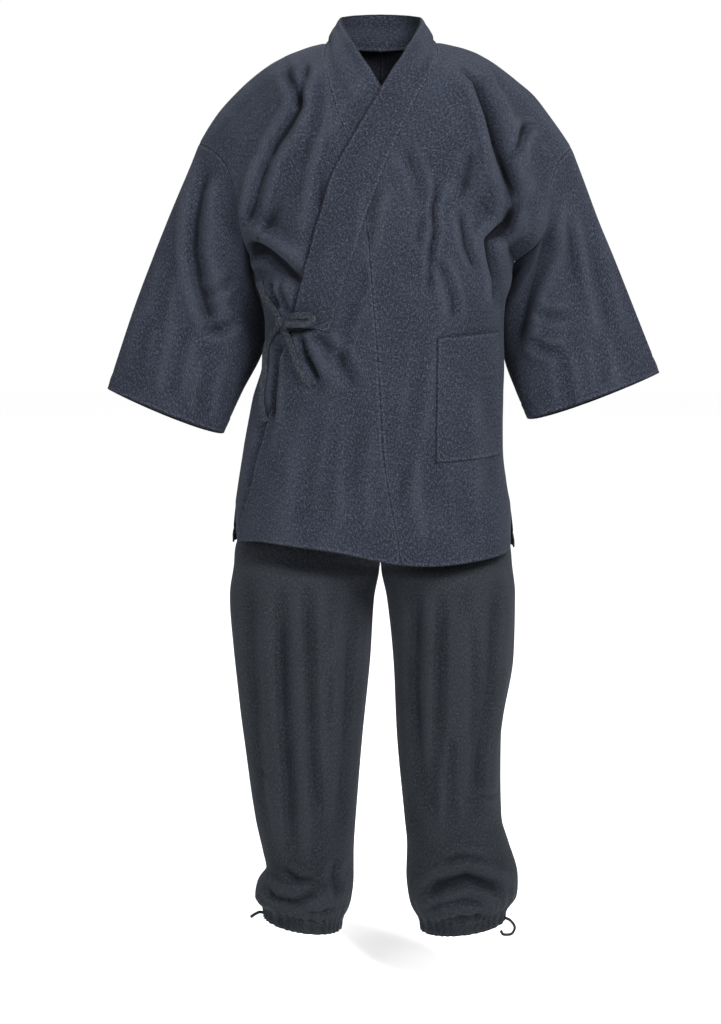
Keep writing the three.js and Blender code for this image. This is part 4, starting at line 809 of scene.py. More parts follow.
def mesh_of(name: str, vertices: Array, faces: Array) -> bpy.types.Mesh:
    """A smooth mesh of four-sided faces, facing out, from points in millimetres.

    Args:
        name: The name of the mesh.
        vertices: Its points.
        faces: The four corners of each face.

    Returns:
        The mesh.
    """
    corner = vertices[faces]
    spread = np.cross(corner[:, 2] - corner[:, 0], corner[:, 3] - corner[:, 1])
    if np.einsum("ij,ij->", corner.mean(axis=1), spread) < 0:
        faces = faces[:, ::-1]
    mesh = bpy.data.meshes.new(name)
    mesh.vertices.add(len(vertices))
    mesh.vertices.foreach_set("co", (vertices * MM).astype(np.float32).reshape(-1))
    mesh.loops.add(faces.size)
    mesh.loops.foreach_set("vertex_index", faces.astype(np.int32).reshape(-1))
    mesh.polygons.add(len(faces))
    mesh.polygons.foreach_set("loop_start", np.arange(0, faces.size, 4, dtype=np.int32))
    mesh.update(calc_edges=True)
    mesh.polygons.foreach_set("use_smooth", np.ones(len(faces), dtype=bool))
    mesh.set_sharp_from_angle(angle=math.radians(SHARP_ANGLE))
    return mesh


def attach(
    name: str, nodes: Sequence[str], mesh: bpy.types.Mesh, material: bpy.types.Material
) -> bpy.types.Object:
    """Puts a mesh into the scene as the piece that stands for some nodes.

    Args:
        name: The name of the piece.
        nodes: The solids that it stands for.
        mesh: Its mesh.
        material: Its material.

    Returns:
        The new object, riding on the root body.
    """
    piece = bpy.data.objects.new(f"{name}_cloth", mesh)
    bpy.context.scene.collection.objects.link(piece)
    mesh.materials.append(material)
    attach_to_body(piece, "root")
    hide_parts(*nodes)
    LOG.info("%s: %d faces", name, len(mesh.polygons))
    return piece


class Wire:
    """A shader value: an expression on it adds the Math nodes that work it out."""

    def __init__(self, recipe: "Recipe", socket: bpy.types.NodeSocket) -> None:
        """Keeps the socket and the recipe that it belongs to."""
        self.recipe = recipe
        self.socket = socket

    def math(self, operation: str, *values: object) -> "Wire":
        """One Math node on some values."""
        return self.recipe.node("ShaderNodeMath", {"operation": operation}, dict(enumerate(values)))

    def sine(self) -> "Wire":
        """The sine of the value."""
        return self.math("SINE", self)

    def __add__(self, other: object) -> "Wire":
        """Adds."""
        return self.math("ADD", self, other)

    def __sub__(self, other: object) -> "Wire":
        """Takes away."""
        return self.math("SUBTRACT", self, other)

    def __rsub__(self, other: object) -> "Wire":
        """Takes this away from a number."""
        return self.math("SUBTRACT", other, self)

    def __mul__(self, other: object) -> "Wire":
        """Multiplies."""
        return self.math("MULTIPLY", self, other)

    __radd__ = __add__
    __rmul__ = __mul__


class Recipe:
    """A material's node tree, built node by node."""

    def __init__(self, name: str) -> None:
        """Starts an empty material.

        Args:
            name: The name of the material.
        """
        self.material = bpy.data.materials.new(name)
        self.material.use_nodes = True
        self.tree = self.material.node_tree
        self.tree.nodes.clear()

    def node(self, kind: str, settings: dict, inputs: dict, output: object = 0) -> Wire | None:
        """Adds a node.

        Args:
            kind: The node's type.
            settings: Its own settings, set first.
            inputs: Values or wires by socket.
            output: Which of its outputs is given back.

        Returns:
            The output, ready for an expression, or nothing where the node has none.
        """
        node = self.tree.nodes.new(kind)
        for key, value in settings.items():
            setattr(node, key, value)
        for key, value in inputs.items():
            if isinstance(value, Wire):
                self.tree.links.new(value.socket, node.inputs[key])
            else:
                node.inputs[key].default_value = value
        return Wire(self, node.outputs[output]) if len(node.outputs) else None

    def attribute(self, name: str) -> Wire:
        """A number kept on the mesh."""
        return self.node("ShaderNodeAttribute", {"attribute_name": name}, {}, "Fac")

    def noise(self, vector: Wire, stretch: tuple[float, float, float], detail: float) -> Wire:
        """Noise over stretched coordinates."""
        scaled = self.node("ShaderNodeVectorMath", {"operation": "MULTIPLY"}, {0: vector, 1: stretch})
        return self.node("ShaderNodeTexNoise", {}, {"Vector": scaled, "Scale": 1.0, "Detail": detail})

    def ramp(self, value: Wire, low: float, high: float, to_low: float = 0.0, to_high: float = 1.0) -> Wire:
        """The value from low to high, softly spread from to_low to to_high.

        Args:
            value: The wire to read.
            low: Where the spread starts.
            high: Where it ends.
            to_low: The value up to the start.
            to_high: The value from the end on.

        Returns:
            The spread value.
        """
        return self.node(
            "ShaderNodeMapRange",
            {"interpolation_type": "SMOOTHSTEP"},
            {"Value": value, "From Min": low, "From Max": high, "To Min": to_low, "To Max": to_high},
        )

    def mix(self, share: object, first: object, second: object) -> Wire:
        """A colour between two colours."""
        return self.node("ShaderNodeMix", {"data_type": "RGBA"}, {0: share, 6: first, 7: second}, 2)


@dataclass(frozen=True)
class Denim:
    """Woven indigo denim: dark warp, pale flecks, slubs, worn edges, stitches, with painted shade and
    highlight.

    Grains are counted in cells a metre along the width and the length of the cloth. Distances and
    pitches are in metres, as the mesh keeps them. Shade and crease say how dark the painted shade is
    in fold hollows and along seams and free edges, and thread how dark the stitches are; worn and
    fleck say how pale the worn edges and the flecks are, and ridge_fade_and_highlight how pale the
    ridges are, partly by fading and partly as painted highlight.
    """

    name: str
    dark: tuple[float, float, float]
    middle: tuple[float, float, float]
    pale: tuple[float, float, float]
    # Near-black colour that the painted shade in hollows, along seams and at free edges darkens to.
    deep: tuple[float, float, float] = (0.0012, 0.0015, 0.0025)
    # How far the painted shade in fold hollows darkens the cloth.
    shade: float = 0.85
    # How far the painted shade along seams and free edges darkens the cloth.
    crease: float = 0.6
    thread: float = 0.75
    worn: float = 0.26
    fleck: float = 0.5
    # How much paler the ridges get: partly fading wear, partly painted highlight.
    ridge_fade_and_highlight: float = 0.24
    clouding: float = 0.14
    sheen: float = 0.03
    sheen_tint: tuple[float, float, float] = (0.62, 0.7, 0.86)
    sheen_rough: float = 0.5
    shine: float = 0.05
    rough: tuple[float, float] = (0.94, 0.8)
    relief: float = 0.55
    slub_grain: tuple[float, float, float] = (880, 170, 1)
    weft_grain: tuple[float, float, float] = (200, 820, 1)
    speck_grain: tuple[float, float, float] = (390, 350, 1)
    cloud_grain: tuple[float, float, float] = (16, 11, 1)
    stitch_pitch: float = 0.0034
    twill_pitch: float = 0.0012
    nap: float = 0.0007

    def material(self) -> bpy.types.Material:
        """Builds the material.

        Returns:
            The material.
        """
        recipe = Recipe(self.name)
        cloth = recipe.node("ShaderNodeUVMap", {"uv_map": "cloth"}, {})
        u = recipe.node("ShaderNodeSeparateXYZ", {}, {0: cloth}, "X")
        v = recipe.node("ShaderNodeSeparateXYZ", {}, {0: cloth}, "Y")
        slub = recipe.noise(cloth, self.slub_grain, 2)
        weft = recipe.noise(cloth, self.weft_grain, 2)
        speck = recipe.noise(cloth, self.speck_grain, 3)
        cloud = recipe.noise(cloth, self.cloud_grain, 2)
        grain = slub * 0.34 + weft * 0.22 + speck * 0.44
        tone = recipe.ramp(grain, 0.41, 0.59) + recipe.ramp(cloud, 0.3, 0.7, -self.clouding, self.clouding)
        seam = recipe.attribute("seam")
        # Painted shade: a dark line within about two millimetres of every seam and free edge.
        crease = recipe.ramp(seam, 0.0004, 0.0019, self.crease, 0.0)
        worn = recipe.ramp(seam, 0.0016, 0.0066, self.worn, 0.0) * recipe.ramp(speck, 0.4, 0.6)
        flecks = recipe.ramp(speck * 0.5 + slub * 0.5, 0.54, 0.68, 0.0, self.fleck)
        # Fold relief paints light and shade: ridges paler, partly fading wear and partly painted highlight.
        hollow = recipe.attribute("hollow")
        ridge = recipe.ramp(hollow * -1, 0.0003, 0.0030, 0.0, self.ridge_fade_and_highlight)
        # Painted shade in the hollows of folds.
        trough = recipe.ramp(hollow, 0.0005, 0.0050, 0.0, self.shade)
        run = recipe.attribute("along") * (2 * math.pi / self.stitch_pitch)
        dash = recipe.ramp(run.sine(), -0.5, 0.0)
        thread = recipe.ramp(recipe.attribute("stitch"), 0.0003, 0.0008, 1.0, 0.0) * dash
        colour = recipe.mix(tone + ridge, (*self.dark, 1), (*self.middle, 1))
        colour = recipe.mix(flecks + worn + ridge * 0.3, colour, (*self.pale, 1))
        colour = recipe.mix(trough, colour, (*self.deep, 1))
        colour = recipe.mix(crease, colour, (*self.deep, 1))
        colour = recipe.mix(thread * self.thread, colour, (*self.dark, 1))
        twill = ((u + v * 0.7) * (2 * math.pi / self.twill_pitch)).sine()
        height = twill * 0.2 + speck * 0.9 + slub * 0.5 + weft * 0.3 + thread * 1.2
        bump = {"Height": height, "Strength": self.relief, "Distance": self.nap}
        fibre = {
            "Base Color": colour,
            "Roughness": recipe.ramp(grain, 0.3, 0.7, *self.rough),
            "Normal": recipe.node("ShaderNodeBump", {}, bump, "Normal"),
            "Sheen Weight": self.sheen,
            "Sheen Roughness": self.sheen_rough,
            "Sheen Tint": (*self.sheen_tint, 1),
            "Specular IOR Level": self.shine,
        }
        surface = recipe.node("ShaderNodeBsdfPrincipled", {}, fibre)
        recipe.node("ShaderNodeOutputMaterial", {}, {"Surface": surface})
        return recipe.material


@dataclass(frozen=True)
class Plain:
    """A plain matt finish for the floor."""

    name: str
    colour: tuple[float, float, float]
    rough: float = 0.9
    shine: float = 0.2

    def material(self) -> bpy.types.Material:
        """Builds the material.

        Returns:
            The material.
        """
        recipe = Recipe(self.name)
        matt = {"Base Color": (*self.colour, 1), "Roughness": self.rough, "Specular IOR Level": self.shine}
        surface = recipe.node("ShaderNodeBsdfPrincipled", {}, matt)
        recipe.node("ShaderNodeOutputMaterial", {}, {"Surface": surface})
        return recipe.material


JACKET_DENIM = Denim(
    "jacket_denim", (0.0045, 0.0056, 0.0092), (0.0132, 0.0156, 0.0228), (0.042, 0.046, 0.057)
)
TROUSER_DENIM = Denim(
    "trouser_denim", (0.0034, 0.0041, 0.0053), (0.0090, 0.0105, 0.0128), (0.028, 0.031, 0.036), shade=0.62
)
TAPE_DENIM = Denim("tape_denim", (0.0052, 0.0062, 0.0086), (0.0165, 0.0187, 0.0235), (0.050, 0.055, 0.064))


@dataclass
class Collar:
    """The band collar, from the over front's end round the neck to the under front's end.

    A station counts rows of the body, and the sides mirror each other about the back of the neck.
    Lie is 1 where the band lies on the chest and 0 where it stands by itself. A crease gives its place
    across the band, its half width as a share of the band, and its depth.
    """

    torso: Torso
    first_station: float = 9
    back_station: float = 30
    seam_start: float = -0.05
    rise: float = 1
    bulge: float = 4
    thickness: float = 2.6
    station_length: float = 26
    width: float = 59
    pitch: float = 3.6
    cross_pitch: float = 3.2
    end_hem: float = 6
    face: float = 40
    wander: float = 0.03
    wander_cell: tuple[float, float, float] = (90, 400, 1)
    steady: float = 0.6
    fading_cell: tuple[float, float, float] = (70, 20, 1)
    creases: tuple = ((0.19, 0.13, 3.2), (0.77, 0.09, 1.5), (0.5, 0.2, 0.7))
    over: tuple = (
        (9, -77, -412, -131, 0, -408, 1), (10.5, -66, -378, -121, 0, -370, 1),
        (12, -54, -338, -110, 0, -328, 1),
        (13.5, -40, -296, -98, 0, -283, 1), (15, -25, -250, -84, 0, -235, 1),
        (16.25, -12, -216, -72, 0, -198, 1),
        (17.5, 1, -182, -57, 0, -167, 1), (18.75, 15, -149, -40, 0, -137, 1),
        (20, 30, -118, -20, 0, -104, 1),
        (21.25, 45, -87, -1, -116, -71, 0.9), (22.5, 60, -60, 16, -98, -42, 0.6),
        (23.5, 72, -36, 32, -74, -17, 0.25), (24.3, 79, -16, 47, -46, 9, 0),
    )
    under: tuple = (
        (24.3, -80, -18, -47, -46, 9, 0), (23.5, -76, -42, -32, -74, -17, 0.25),
        (22.5, -69, -72, -16, -94, -42, 0.6), (21.25, -58, -106, -1, -107, -66, 0.9),
        (20, -43, -144, 14, 0, -104, 1), (18.75, -28, -182, 30, 0, -144, 1),
        (17.5, -13, -220, 45, 0, -184, 1),
        (16.25, 2, -258, 59, 0, -224, 1), (15, 17, -297, 73, 0, -264, 1), (13, 33, -340, 89, 0, -310, 1),
        (11, 49, -382, 105, 0, -358, 1), (9, 64, -420, 122, 0, -412, 1),
    )
    neck: tuple = (
        (25, 81, 0, 58, -14, 30), (26.2, 75, 26, 60, 18, 41), (27.5, 58, 47, 48, 44, 47),
        (28.8, 30, 61, 25, 59, 50), (30, 0, 65, 0, 63, 51),
    )
    curves: dict[Side, Table] = field(default_factory=dict)

    def __post_init__(self) -> None:
        """Works out both sides' sewn and free edges by station."""
        for side, lying in ((Side.LEFT, self.over), (Side.RIGHT, self.under)):
            rows = []
            for row, seam_x, seam_z, free_x, free_y, free_z, lie in lying:
                seam = self.torso.on_front(seam_x, seam_z)
                free = self.torso.on_front(free_x, free_z)
                rows.append((row, *map(float, seam), *map(float, free), free_x, free_y, free_z, lie))
            for row, seam_x, seam_run, free_x, free_y, free_z in self.neck:
                half_width = abs(float(self.torso.edge(side, np.float64(seam_run))[0]))
                across = side.value * seam_x / half_width
                rows.append((row, across, seam_run, across, 0, side.value * free_x, free_y, free_z, 0))
            names = "row seam_across seam_run free_across free_run free_x free_y free_z lie"
            self.curves[side] = Table(names, *rows)

    def side_point(self, side: Side, row: Array, width: Array) -> Array:
        """Points of one side: width is 0 at the sewn edge and 1 at the free edge.

        Args:
            side: The side.
            row: The station.
            width: The place across the band.

        Returns:
            The points.
        """
        at = self.curves[side]
        under = side is Side.RIGHT
        lie = np.clip(at("lie", row), 0, 1)
        seam_across, seam_run = at("seam_across", row), at("seam_run", row)
        seam = self.torso.point(seam_across, seam_run, lie * self.rise, under)
        free = np.stack([at("free_x", row), at("free_y", row), at("free_z", row)], axis=-1)
        standing = blend(seam, free, width[..., None])
        away = unit((standing - (0, 5, 0)) * (1, 1, 0))
        standing = standing + away * (self.bulge * np.sin(math.pi * width))[..., None]
        across = blend(seam_across, at("free_across", row), width)
        run = blend(seam_run, at("free_run", row), width)
        lying = self.torso.point(across, run, self.rise, under)
        return blend(standing, lying, lie[..., None])

    def dress(self, material: bpy.types.Material) -> bpy.types.Object:
        """Builds the band with the creases that pressing has left along it.

        Args:
            material: The cloth's material.

        Returns:
            The piece.
        """
        steps = int(2 * (self.back_station - self.first_station))
        station = self.first_station + spaced([self.station_length] * steps, self.pitch)
        width = blend(self.seam_start, 1, spaced([self.width], self.cross_pitch))
        station, width = np.meshgrid(station, width, indexing="ij")
        left = station <= self.back_station
        row = np.where(left, station, 2 * self.back_station - station)
        over = self.side_point(Side.LEFT, row, width)
        points = np.where(left[..., None], over, self.side_point(Side.RIGHT, row, width))
        ends = {Edge.FIRST_ROW: self.end_hem, Edge.LAST_ROW: self.end_hem}
        seams = (Edge.FIRST_COLUMN, Edge.LAST_COLUMN)
        shell = Shell("collar", points, self.thickness, seams=seams, hems=ends)
        place = np.stack([station * self.station_length, self.face * width, 0 * width], axis=-1)
        wander = self.wander * unevenness(place, self.wander_cell, 5)
        strength = self.steady + (1 - self.steady) * unevenness(place, self.fading_cell, 6)
        press = np.zeros(width.shape)
        for line, wide, deep in self.creases:
            press = press + deep * np.exp(-(((width - line - wander) / wide) ** 2))
        shell.points = points - shell.normals() * (press * strength)[..., None]
        piece = shell.build(["collar"], material)
        shell.declare(["body_left_cloth", "body_right_cloth"])
        return piece


@dataclass
class Body:
    """The two body lengths, each over its shoulder from hem to hem, and the overlap gores."""

    torso: Torso
    collar: Collar
    armhole_rows: int = 10
    lower_rows: int = 15
    neck_row: int = 25
    back_neck_row: int = 30
    okumi_top_row: int = 15
    collar_end_row: int = 9
    okumi_bottom: float = -746
    half_width: float = 262
    okumi_row_height: float = 33
    okumi_columns: tuple[float, ...] = (24, 24, 24, 24, 28, 28)
    okumi_main: int = 4
    turn_shares: tuple[float, float] = (0.56, 0.7)
    pitch: float = 3.9
    hem: float = 21
    edge_hem: float = 9
    corner_rows: float = 0.3
    over_seam: tuple[tuple[float, float], ...] = (
        (-22, -252), (-18, -292), (-12, -367), (-6, -437), (-1, -520), (3, -590), (12, -650), (30, -746),
    )
    under_seam: tuple[tuple[float, float], ...] = (
        (14, -299), (11, -367), (7, -437), (2, -520), (-3, -590), (-12, -650), (-30, -746),
    )
    over_front: tuple[tuple[float, float], ...] = (
        (-131, -408), (-147, -463), (-157, -505), (-167, -545), (-180, -599), (-197, -665), (-211, -735),
    )
    under_front: tuple[tuple[float, float], ...] = (
        (122, -412), (130, -463), (140, -545), (152, -640), (164, -742),
    )

    def __post_init__(self) -> None:
        """Works out the gores' seams and the free front edges on the surface."""
        path = self.torso.path
        self.seam = {Side.LEFT: path(self.over_seam), Side.RIGHT: path(self.under_seam)}
        self.front = {Side.LEFT: path(self.over_front), Side.RIGHT: path(self.under_front)}
        self.okumi_top = {Side.LEFT: -254, Side.RIGHT: -300}
        self.front_top = {Side.LEFT: -409, Side.RIGHT: -413}
        self.lower = (self.torso.length - self.torso.armhole_run) / self.lower_rows
        self.near_hem = (NEAR_STITCHES + self.hem) / self.lower

    def okumi_seam(self, side: Side, row: Array) -> tuple[Array, Array]:
        """Where a row meets the gore's seam, as across and run.

        Args:
            side: The side.
            row: The row, counted from the front hem.

        Returns:
            The share across and the run.
        """
        z = blend(self.okumi_bottom, self.okumi_top[side], row / self.okumi_top_row)
        run = blend(-self.torso.length, self.seam[side]("run", z), np.clip(row, 0, 1))
        return self.seam[side]("across", z), run

    def inner_edge(self, side: Side, row: Array) -> tuple[Array, Array]:
        """The inner edge of a body length: the gore's seam, the collar's seam, the middle of the back.

        Args:
            side: The side.
            row: The row, counted from the front hem.

        Returns:
            The share across and the run.
        """
        at = self.collar.curves[side]
        okumi_across, okumi_run = self.okumi_seam(side, np.minimum(row, self.okumi_top_row))
        collar_row = np.clip(row, self.okumi_top_row, self.back_neck_row)
        over = np.clip((row - self.okumi_top_row) / self.corner_rows, 0, 1)
        across = blend(okumi_across, at("seam_across", collar_row), over)
        run = blend(okumi_run, at("seam_run", collar_row), over)
        rows = 2 * (self.armhole_rows + self.lower_rows)
        share = np.clip((row - self.back_neck_row) / (rows - self.back_neck_row), 0, 1)
        behind = row > self.back_neck_row
        back_run = blend(float(at("seam_run", self.back_neck_row)), self.torso.length, share)
        return np.where(behind, 0, across), np.where(behind, back_run, run)

    def outer_run(self, row: Array) -> Array:
        """The run of the outer edge at a row, from the front hem over the shoulder to the back hem.

        Args:
            row: The row, counted from the front hem.

        Returns:
            The run.
        """
        down = np.abs(row - self.neck_row)
        step = self.torso.armhole_run / self.armhole_rows
        upper = step * np.minimum(down, self.armhole_rows)
        return np.sign(row - self.neck_row) * (upper + self.lower * np.maximum(0, down - self.armhole_rows))

    def length(self, side: Side, material: bpy.types.Material) -> bpy.types.Object:
        """One body length.

        Args:
            side: The side.
            material: The cloth's material.

        Returns:
            The piece.
        """
        step = self.torso.armhole_run / self.armhole_rows
        lower = [self.lower] * self.lower_rows
        steps = lower + [step] * 2 * self.armhole_rows + lower
        row = spaced(steps, self.pitch, [*self.near_hem, *(len(steps) - self.near_hem)])
        share = spaced([self.half_width], self.pitch)
        inner_across, inner_run = self.inner_edge(side, row)
        across = blend(inner_across[:, None], side.value, share[None])
        run = blend(inner_run[:, None], self.outer_run(row)[:, None], share[None])
        under = side is Side.RIGHT
        points = self.torso.point(across, self.torso.lifted(across, run, under), 0.0, under)
        seams = (Edge.FIRST_COLUMN, Edge.LAST_COLUMN)
        hems = {Edge.FIRST_ROW: self.hem, Edge.LAST_ROW: self.hem}
        shell = Shell(f"body_{side.word}", points, seams=seams, hems=hems)
        nodes = [f"body_front_{side.word}", f"body_back_{side.word}"]
        piece = shell.build(nodes, material)
        shell.declare([])
        return piece

    def okumi(self, side: Side, material: bpy.types.Material) -> bpy.types.Object:
        """One overlap gore: from the body's seam to the collar's and, below it, to the free edge.

        Args:
            side: The side.
            material: The cloth's material.

        Returns:
            The piece.
        """
        row = spaced([self.okumi_row_height] * self.okumi_top_row, self.pitch, self.near_hem)
        column = spaced(self.okumi_columns, self.pitch)
        seam_across, seam_run = self.okumi_seam(side, row)
        end = self.collar_end_row
        edge_z = blend(self.okumi_bottom, self.front_top[side], np.minimum(1, row / end))
        edge_across = self.front[side]("across", edge_z)
        edge_run = blend(-self.torso.length, self.front[side]("run", edge_z), np.clip(row, 0, 1))
        share = blend(*self.turn_shares, 1 - row / end)
        at = self.collar.curves[side]
        high = np.maximum(row, end)
        reach = np.clip(row - end + 1, 0, 1)
        turn_across = blend(blend(seam_across, edge_across, share), at("seam_across", high), reach)
        turn_run = blend(blend(seam_run, edge_run, share), at("seam_run", high), reach)
        main = self.okumi_main
        within = np.minimum(1, column / main)
        beyond = np.maximum(0, column - main) / (len(self.okumi_columns) - main)
        main_across = blend(seam_across[:, None], turn_across[:, None], within)
        main_run = blend(seam_run[:, None], turn_run[:, None], within)
        across = blend(main_across, edge_across[:, None], beyond)
        run = blend(main_run, edge_run[:, None], beyond)
        under = side is Side.RIGHT
        points = self.torso.point(across, self.torso.lifted(across, run, under), 0.0, under)
        row_middle, column_middle = (row[:-1] + row[1:]) / 2, (column[:-1] + column[1:]) / 2
        kept = (row_middle < end)[:, None] | (column_middle < main)[None]
        hems = {Edge.FIRST_ROW: self.hem, Edge.LAST_COLUMN: self.edge_hem}
        shell = Shell(f"okumi_{side.word}", points, kept=kept, seams=(Edge.FIRST_COLUMN,), hems=hems)
        piece = shell.build([f"okumi_{side.word}"], material)
        shell.declare([f"body_{side.word}_cloth"])
        return piece


@dataclass
class Pocket:
    """The patch pocket on the over front, with its hemmed mouth a little open."""

    torso: Torso
    top: tuple[float, float, float, float] = (79, -420, 168, -413)
    bottom: tuple[float, float, float, float] = (78, -597, 173, -593)
    mouth: float = 5
    mouth_from: float = 0.5
    lift: float = 0.7
    thickness: float = 1.6
    height: float = 180
    width: float = 92
    mouth_hem: float = 24
    edge_hem: float = 2.5
    pitch: float = 3.2

    def dress(self, material: bpy.types.Material) -> bpy.types.Object:
        """Builds the pocket on the front's own surface.

        Args:
            material: The cloth's material.

        Returns:
            The piece.
        """
        up = spaced([self.height], self.pitch)[:, None]
        aside = spaced([self.width], self.pitch)[None]
        (x0, z0, x1, z1), (x2, z2, x3, z3) = self.bottom, self.top
        x = blend(blend(x0, x1, aside), blend(x2, x3, aside), up)
        z = blend(blend(z0, z1, aside), blend(z2, z3, aside), up)
        across, run = self.torso.on_front(x, z)
        gape = self.mouth * soft_step(self.mouth_from, 1, up) * np.sin(math.pi * aside)
        points = self.torso.point(across, run, self.lift + self.thickness + gape)
        hems = {Edge.LAST_ROW: self.mouth_hem}
        hems.update(dict.fromkeys((Edge.FIRST_ROW, Edge.FIRST_COLUMN, Edge.LAST_COLUMN), self.edge_hem))
        shell = Shell("pocket", points, self.thickness, hems=hems)
        piece = shell.build(["pocket"], material)
        shell.declare(["body_left_cloth"])
        return piece


SLEEVE_FOLDS = {
    (Side.RIGHT, Half.FRONT): (
        Fold(9.5, 12, ((-232, -150), (-250, -176), (-264, -212), (-271, -262), (-272, -300), (-262, -352),
                     (-246, -398), (-216, -430)), 0.5),
        Fold(-3.5, 16, ((-240, -230), (-240, -320), (-222, -385)), 0.2),
        Fold(3.5, 8, ((-214, -330), (-236, -352), (-262, -362)), 0.6),
        Fold(3.5, 8, ((-206, -392), (-232, -410), (-268, -414)), 0.6),
        Fold(3, 10, ((-306, -300), (-320, -360), (-330, -420)), 0.5),
        Fold(3.5, 11, ((-282, -400), (-300, -460), (-310, -520)), 0.5),
        Fold(3, 10, ((-246, -450), (-258, -500), (-264, -545)), 0.5),
        Fold(2.6, 9, ((-336, -380), (-352, -430), (-362, -480)), 0.5),
    ),
    (Side.RIGHT, Half.BACK): (
        Fold(9.5, 16, ((-250, -190), (-262, -290), (-240, -380))),
        Fold(7.1, 14, ((-300, -300), (-318, -400), (-330, -470))),
        Fold(4.3, 11, ((-210, -330), (-250, -352), (-292, -350))),
        Fold(3.5, 11, ((-210, -400), (-250, -430), (-270, -500))),
    ),
    (Side.LEFT, Half.FRONT): (
        Fold(9.5, 12, ((244, -240), (237, -296), (218, -353), (204, -411), (198, -450)), 0.5),
        Fold(-4.3, 15, ((262, -210), (262, -300), (246, -380)), 0.2),
        Fold(4.3, 12, ((296, -220), (312, -300), (328, -370), (340, -430)), 0.5),
        Fold(3.5, 8, ((222, -380), (246, -392), (276, -390)), 0.6),
        Fold(3.5, 8, ((214, -424), (240, -440), (270, -446)), 0.6),
        Fold(3, 10, ((262, -440), (272, -490), (276, -530)), 0.5),
        Fold(3, 10, ((316, -420), (326, -460), (330, -505)), 0.5),
        Fold(2.6, 9, ((270, -250), (280, -310), (286, -350)), 0.5),
    ),
    (Side.LEFT, Half.BACK): (
        Fold(9.5, 16, ((262, -190), (272, -290), (250, -380))),
        Fold(7.1, 14, ((310, -300), (330, -390), (344, -450))),
        Fold(4.3, 11, ((216, -330), (256, -352), (298, -348))),
        Fold(3.5, 11, ((214, -400), (254, -430), (276, -490))),
    ),
}


@dataclass
class Sleeve:
    """A wide sleeve: angle 0 is its outer fold and a quarter turn is its front."""

    torso: Torso
    side: Side
    back_drop: float = 15
    hold: float = 0.3
    start: float = 0.0012
    long: float = 430
    pitch: float = 3.9
    columns: int = 124
    hem: float = 25
    swell: float = 1.4
    broad_swell: tuple[float, float, float] = (44, 44, 70)
    small_swell: tuple[float, float, float] = (19, 19, 30)
    swell_seed: int = 11
    fold_fade: float = 0.15
    swell_fade: float = 0.08
    edge_fade: float = 0.4
    right: tuple = (
        (0, -266, -141, -191, 5, -314, 70, 62, 0), (0.12, -281, -178, -184, 30, -346, 68, 62, 0),
        (0.35, -311, -246, -172, 52, -404, 64, 56, 0.2), (0.52, -335, -304, -177, 40, -447, 60, 54, 0.35),
        (0.75, -367, -386, -206, 14, -504, 54, 50, 0.5), (1, -406, -499, -234, 0, -564, 50, 46, 0.6),
    )
    left: tuple = (
        (0, 279, -147, 196, 5, -314, 70, 62, 0), (0.12, 295, -187, 191, 30, -346, 68, 62, 0),
        (0.35, 321, -254, 183, 52, -404, 64, 56, 0.2), (0.52, 343, -304, 186, 40, -454, 60, 54, 0.35),
        (0.75, 376, -383, 201, 14, -500, 54, 50, 0.5), (1, 414, -475, 219, 0, -543, 52, 46, 0.6),
    )

    def __post_init__(self) -> None:
        """Chooses the side's own sections."""
        names = "share outer_x outer_z inner_x inner_y inner_z front back pinch"
        self.at = Table(names, *(self.right if self.side is Side.RIGHT else self.left))

    def section(self, share: Array, angle: Array) -> Array:
        """The sleeve's own section.

        Args:
            share: How far down the sleeve, from 0 at the armhole to 1 at the cuff.
            angle: The way round it.

        Returns:
            The points.
        """
        at = self.at
        inward = (1 - np.cos(angle)) / 2
        pinch = np.maximum(0, at("pinch", share))
        swell = np.sin(angle) * np.abs(np.sin(angle / 2)) ** pinch
        depth = -swell * np.where(swell > 0, at("front", share), at("back", share))
        drop = np.where(swell < 0, self.back_drop * share**2 * swell, 0)
        x = blend(at("outer_x", share), at("inner_x", share), inward)
        z = blend(at("outer_z", share), at("inner_z", share), inward) + drop
        return np.stack([x, at("inner_y", share) * inward + depth, z], axis=-1)

    def base(self, share: Array, angle: Array) -> Array:
        """The smooth form, blended from the armhole that it is sewn to.

        Args:
            share: How far down the sleeve, from 0 at the armhole to 1 at the cuff.
            angle: The way round it.

        Returns:
            The points.
        """
        turn = np.mod(angle, 2 * math.pi)
        reach = self.torso.armhole_run
        run = np.where(turn <= math.pi, -reach * turn / math.pi, reach * (2 * math.pi - turn) / math.pi)
        edge = np.full(run.shape, float(self.side.value))
        sewn = self.torso.point(edge, run) - self.section(0 * share, angle)
        return self.section(share, angle) + sewn * (1 - soft_step(0, self.hold, share))[..., None]

    def dress(self, material: bpy.types.Material) -> bpy.types.Object:
        """Builds the sleeve with its folds.

        Args:
            material: The cloth's material.

        Returns:
            The piece.
        """
        near_hem = 1 - (NEAR_STITCHES + self.hem) / self.long
        share = np.maximum(spaced([self.long], self.pitch, near_hem), self.start)
        angle = np.linspace(0, 2 * math.pi, self.columns, endpoint=False)
        share, angle = np.meshgrid(share, angle, indexing="ij")
        points = self.base(share, angle)
        x, z = points[..., 0], points[..., 2]
        front = relief_of(SLEEVE_FOLDS[self.side, Half.FRONT], x, z)
        back = relief_of(SLEEVE_FOLDS[self.side, Half.BACK], x, z)
        folds = soft_step(0, self.fold_fade, share) * np.where(np.sin(angle) > 0, front, back)
        swell = swells(points, self.swell, self.broad_swell, self.small_swell, self.swell_seed)
        relief = folds - soft_step(0, self.swell_fade, share) * swell
        press = soft_step(0, self.edge_fade, np.abs(np.sin(angle))) * relief
        name = f"sleeve_{self.side.word}"
        hems = {Edge.LAST_ROW: self.hem}
        shell = Shell(name, points, wrapped=True, seams=(Edge.FIRST_ROW,), hems=hems)
        shell.points = points - shell.normals() * press[..., None]
        piece = shell.build([name], material)
        shell.declare([f"body_{self.side.word}_cloth"])
        return piece


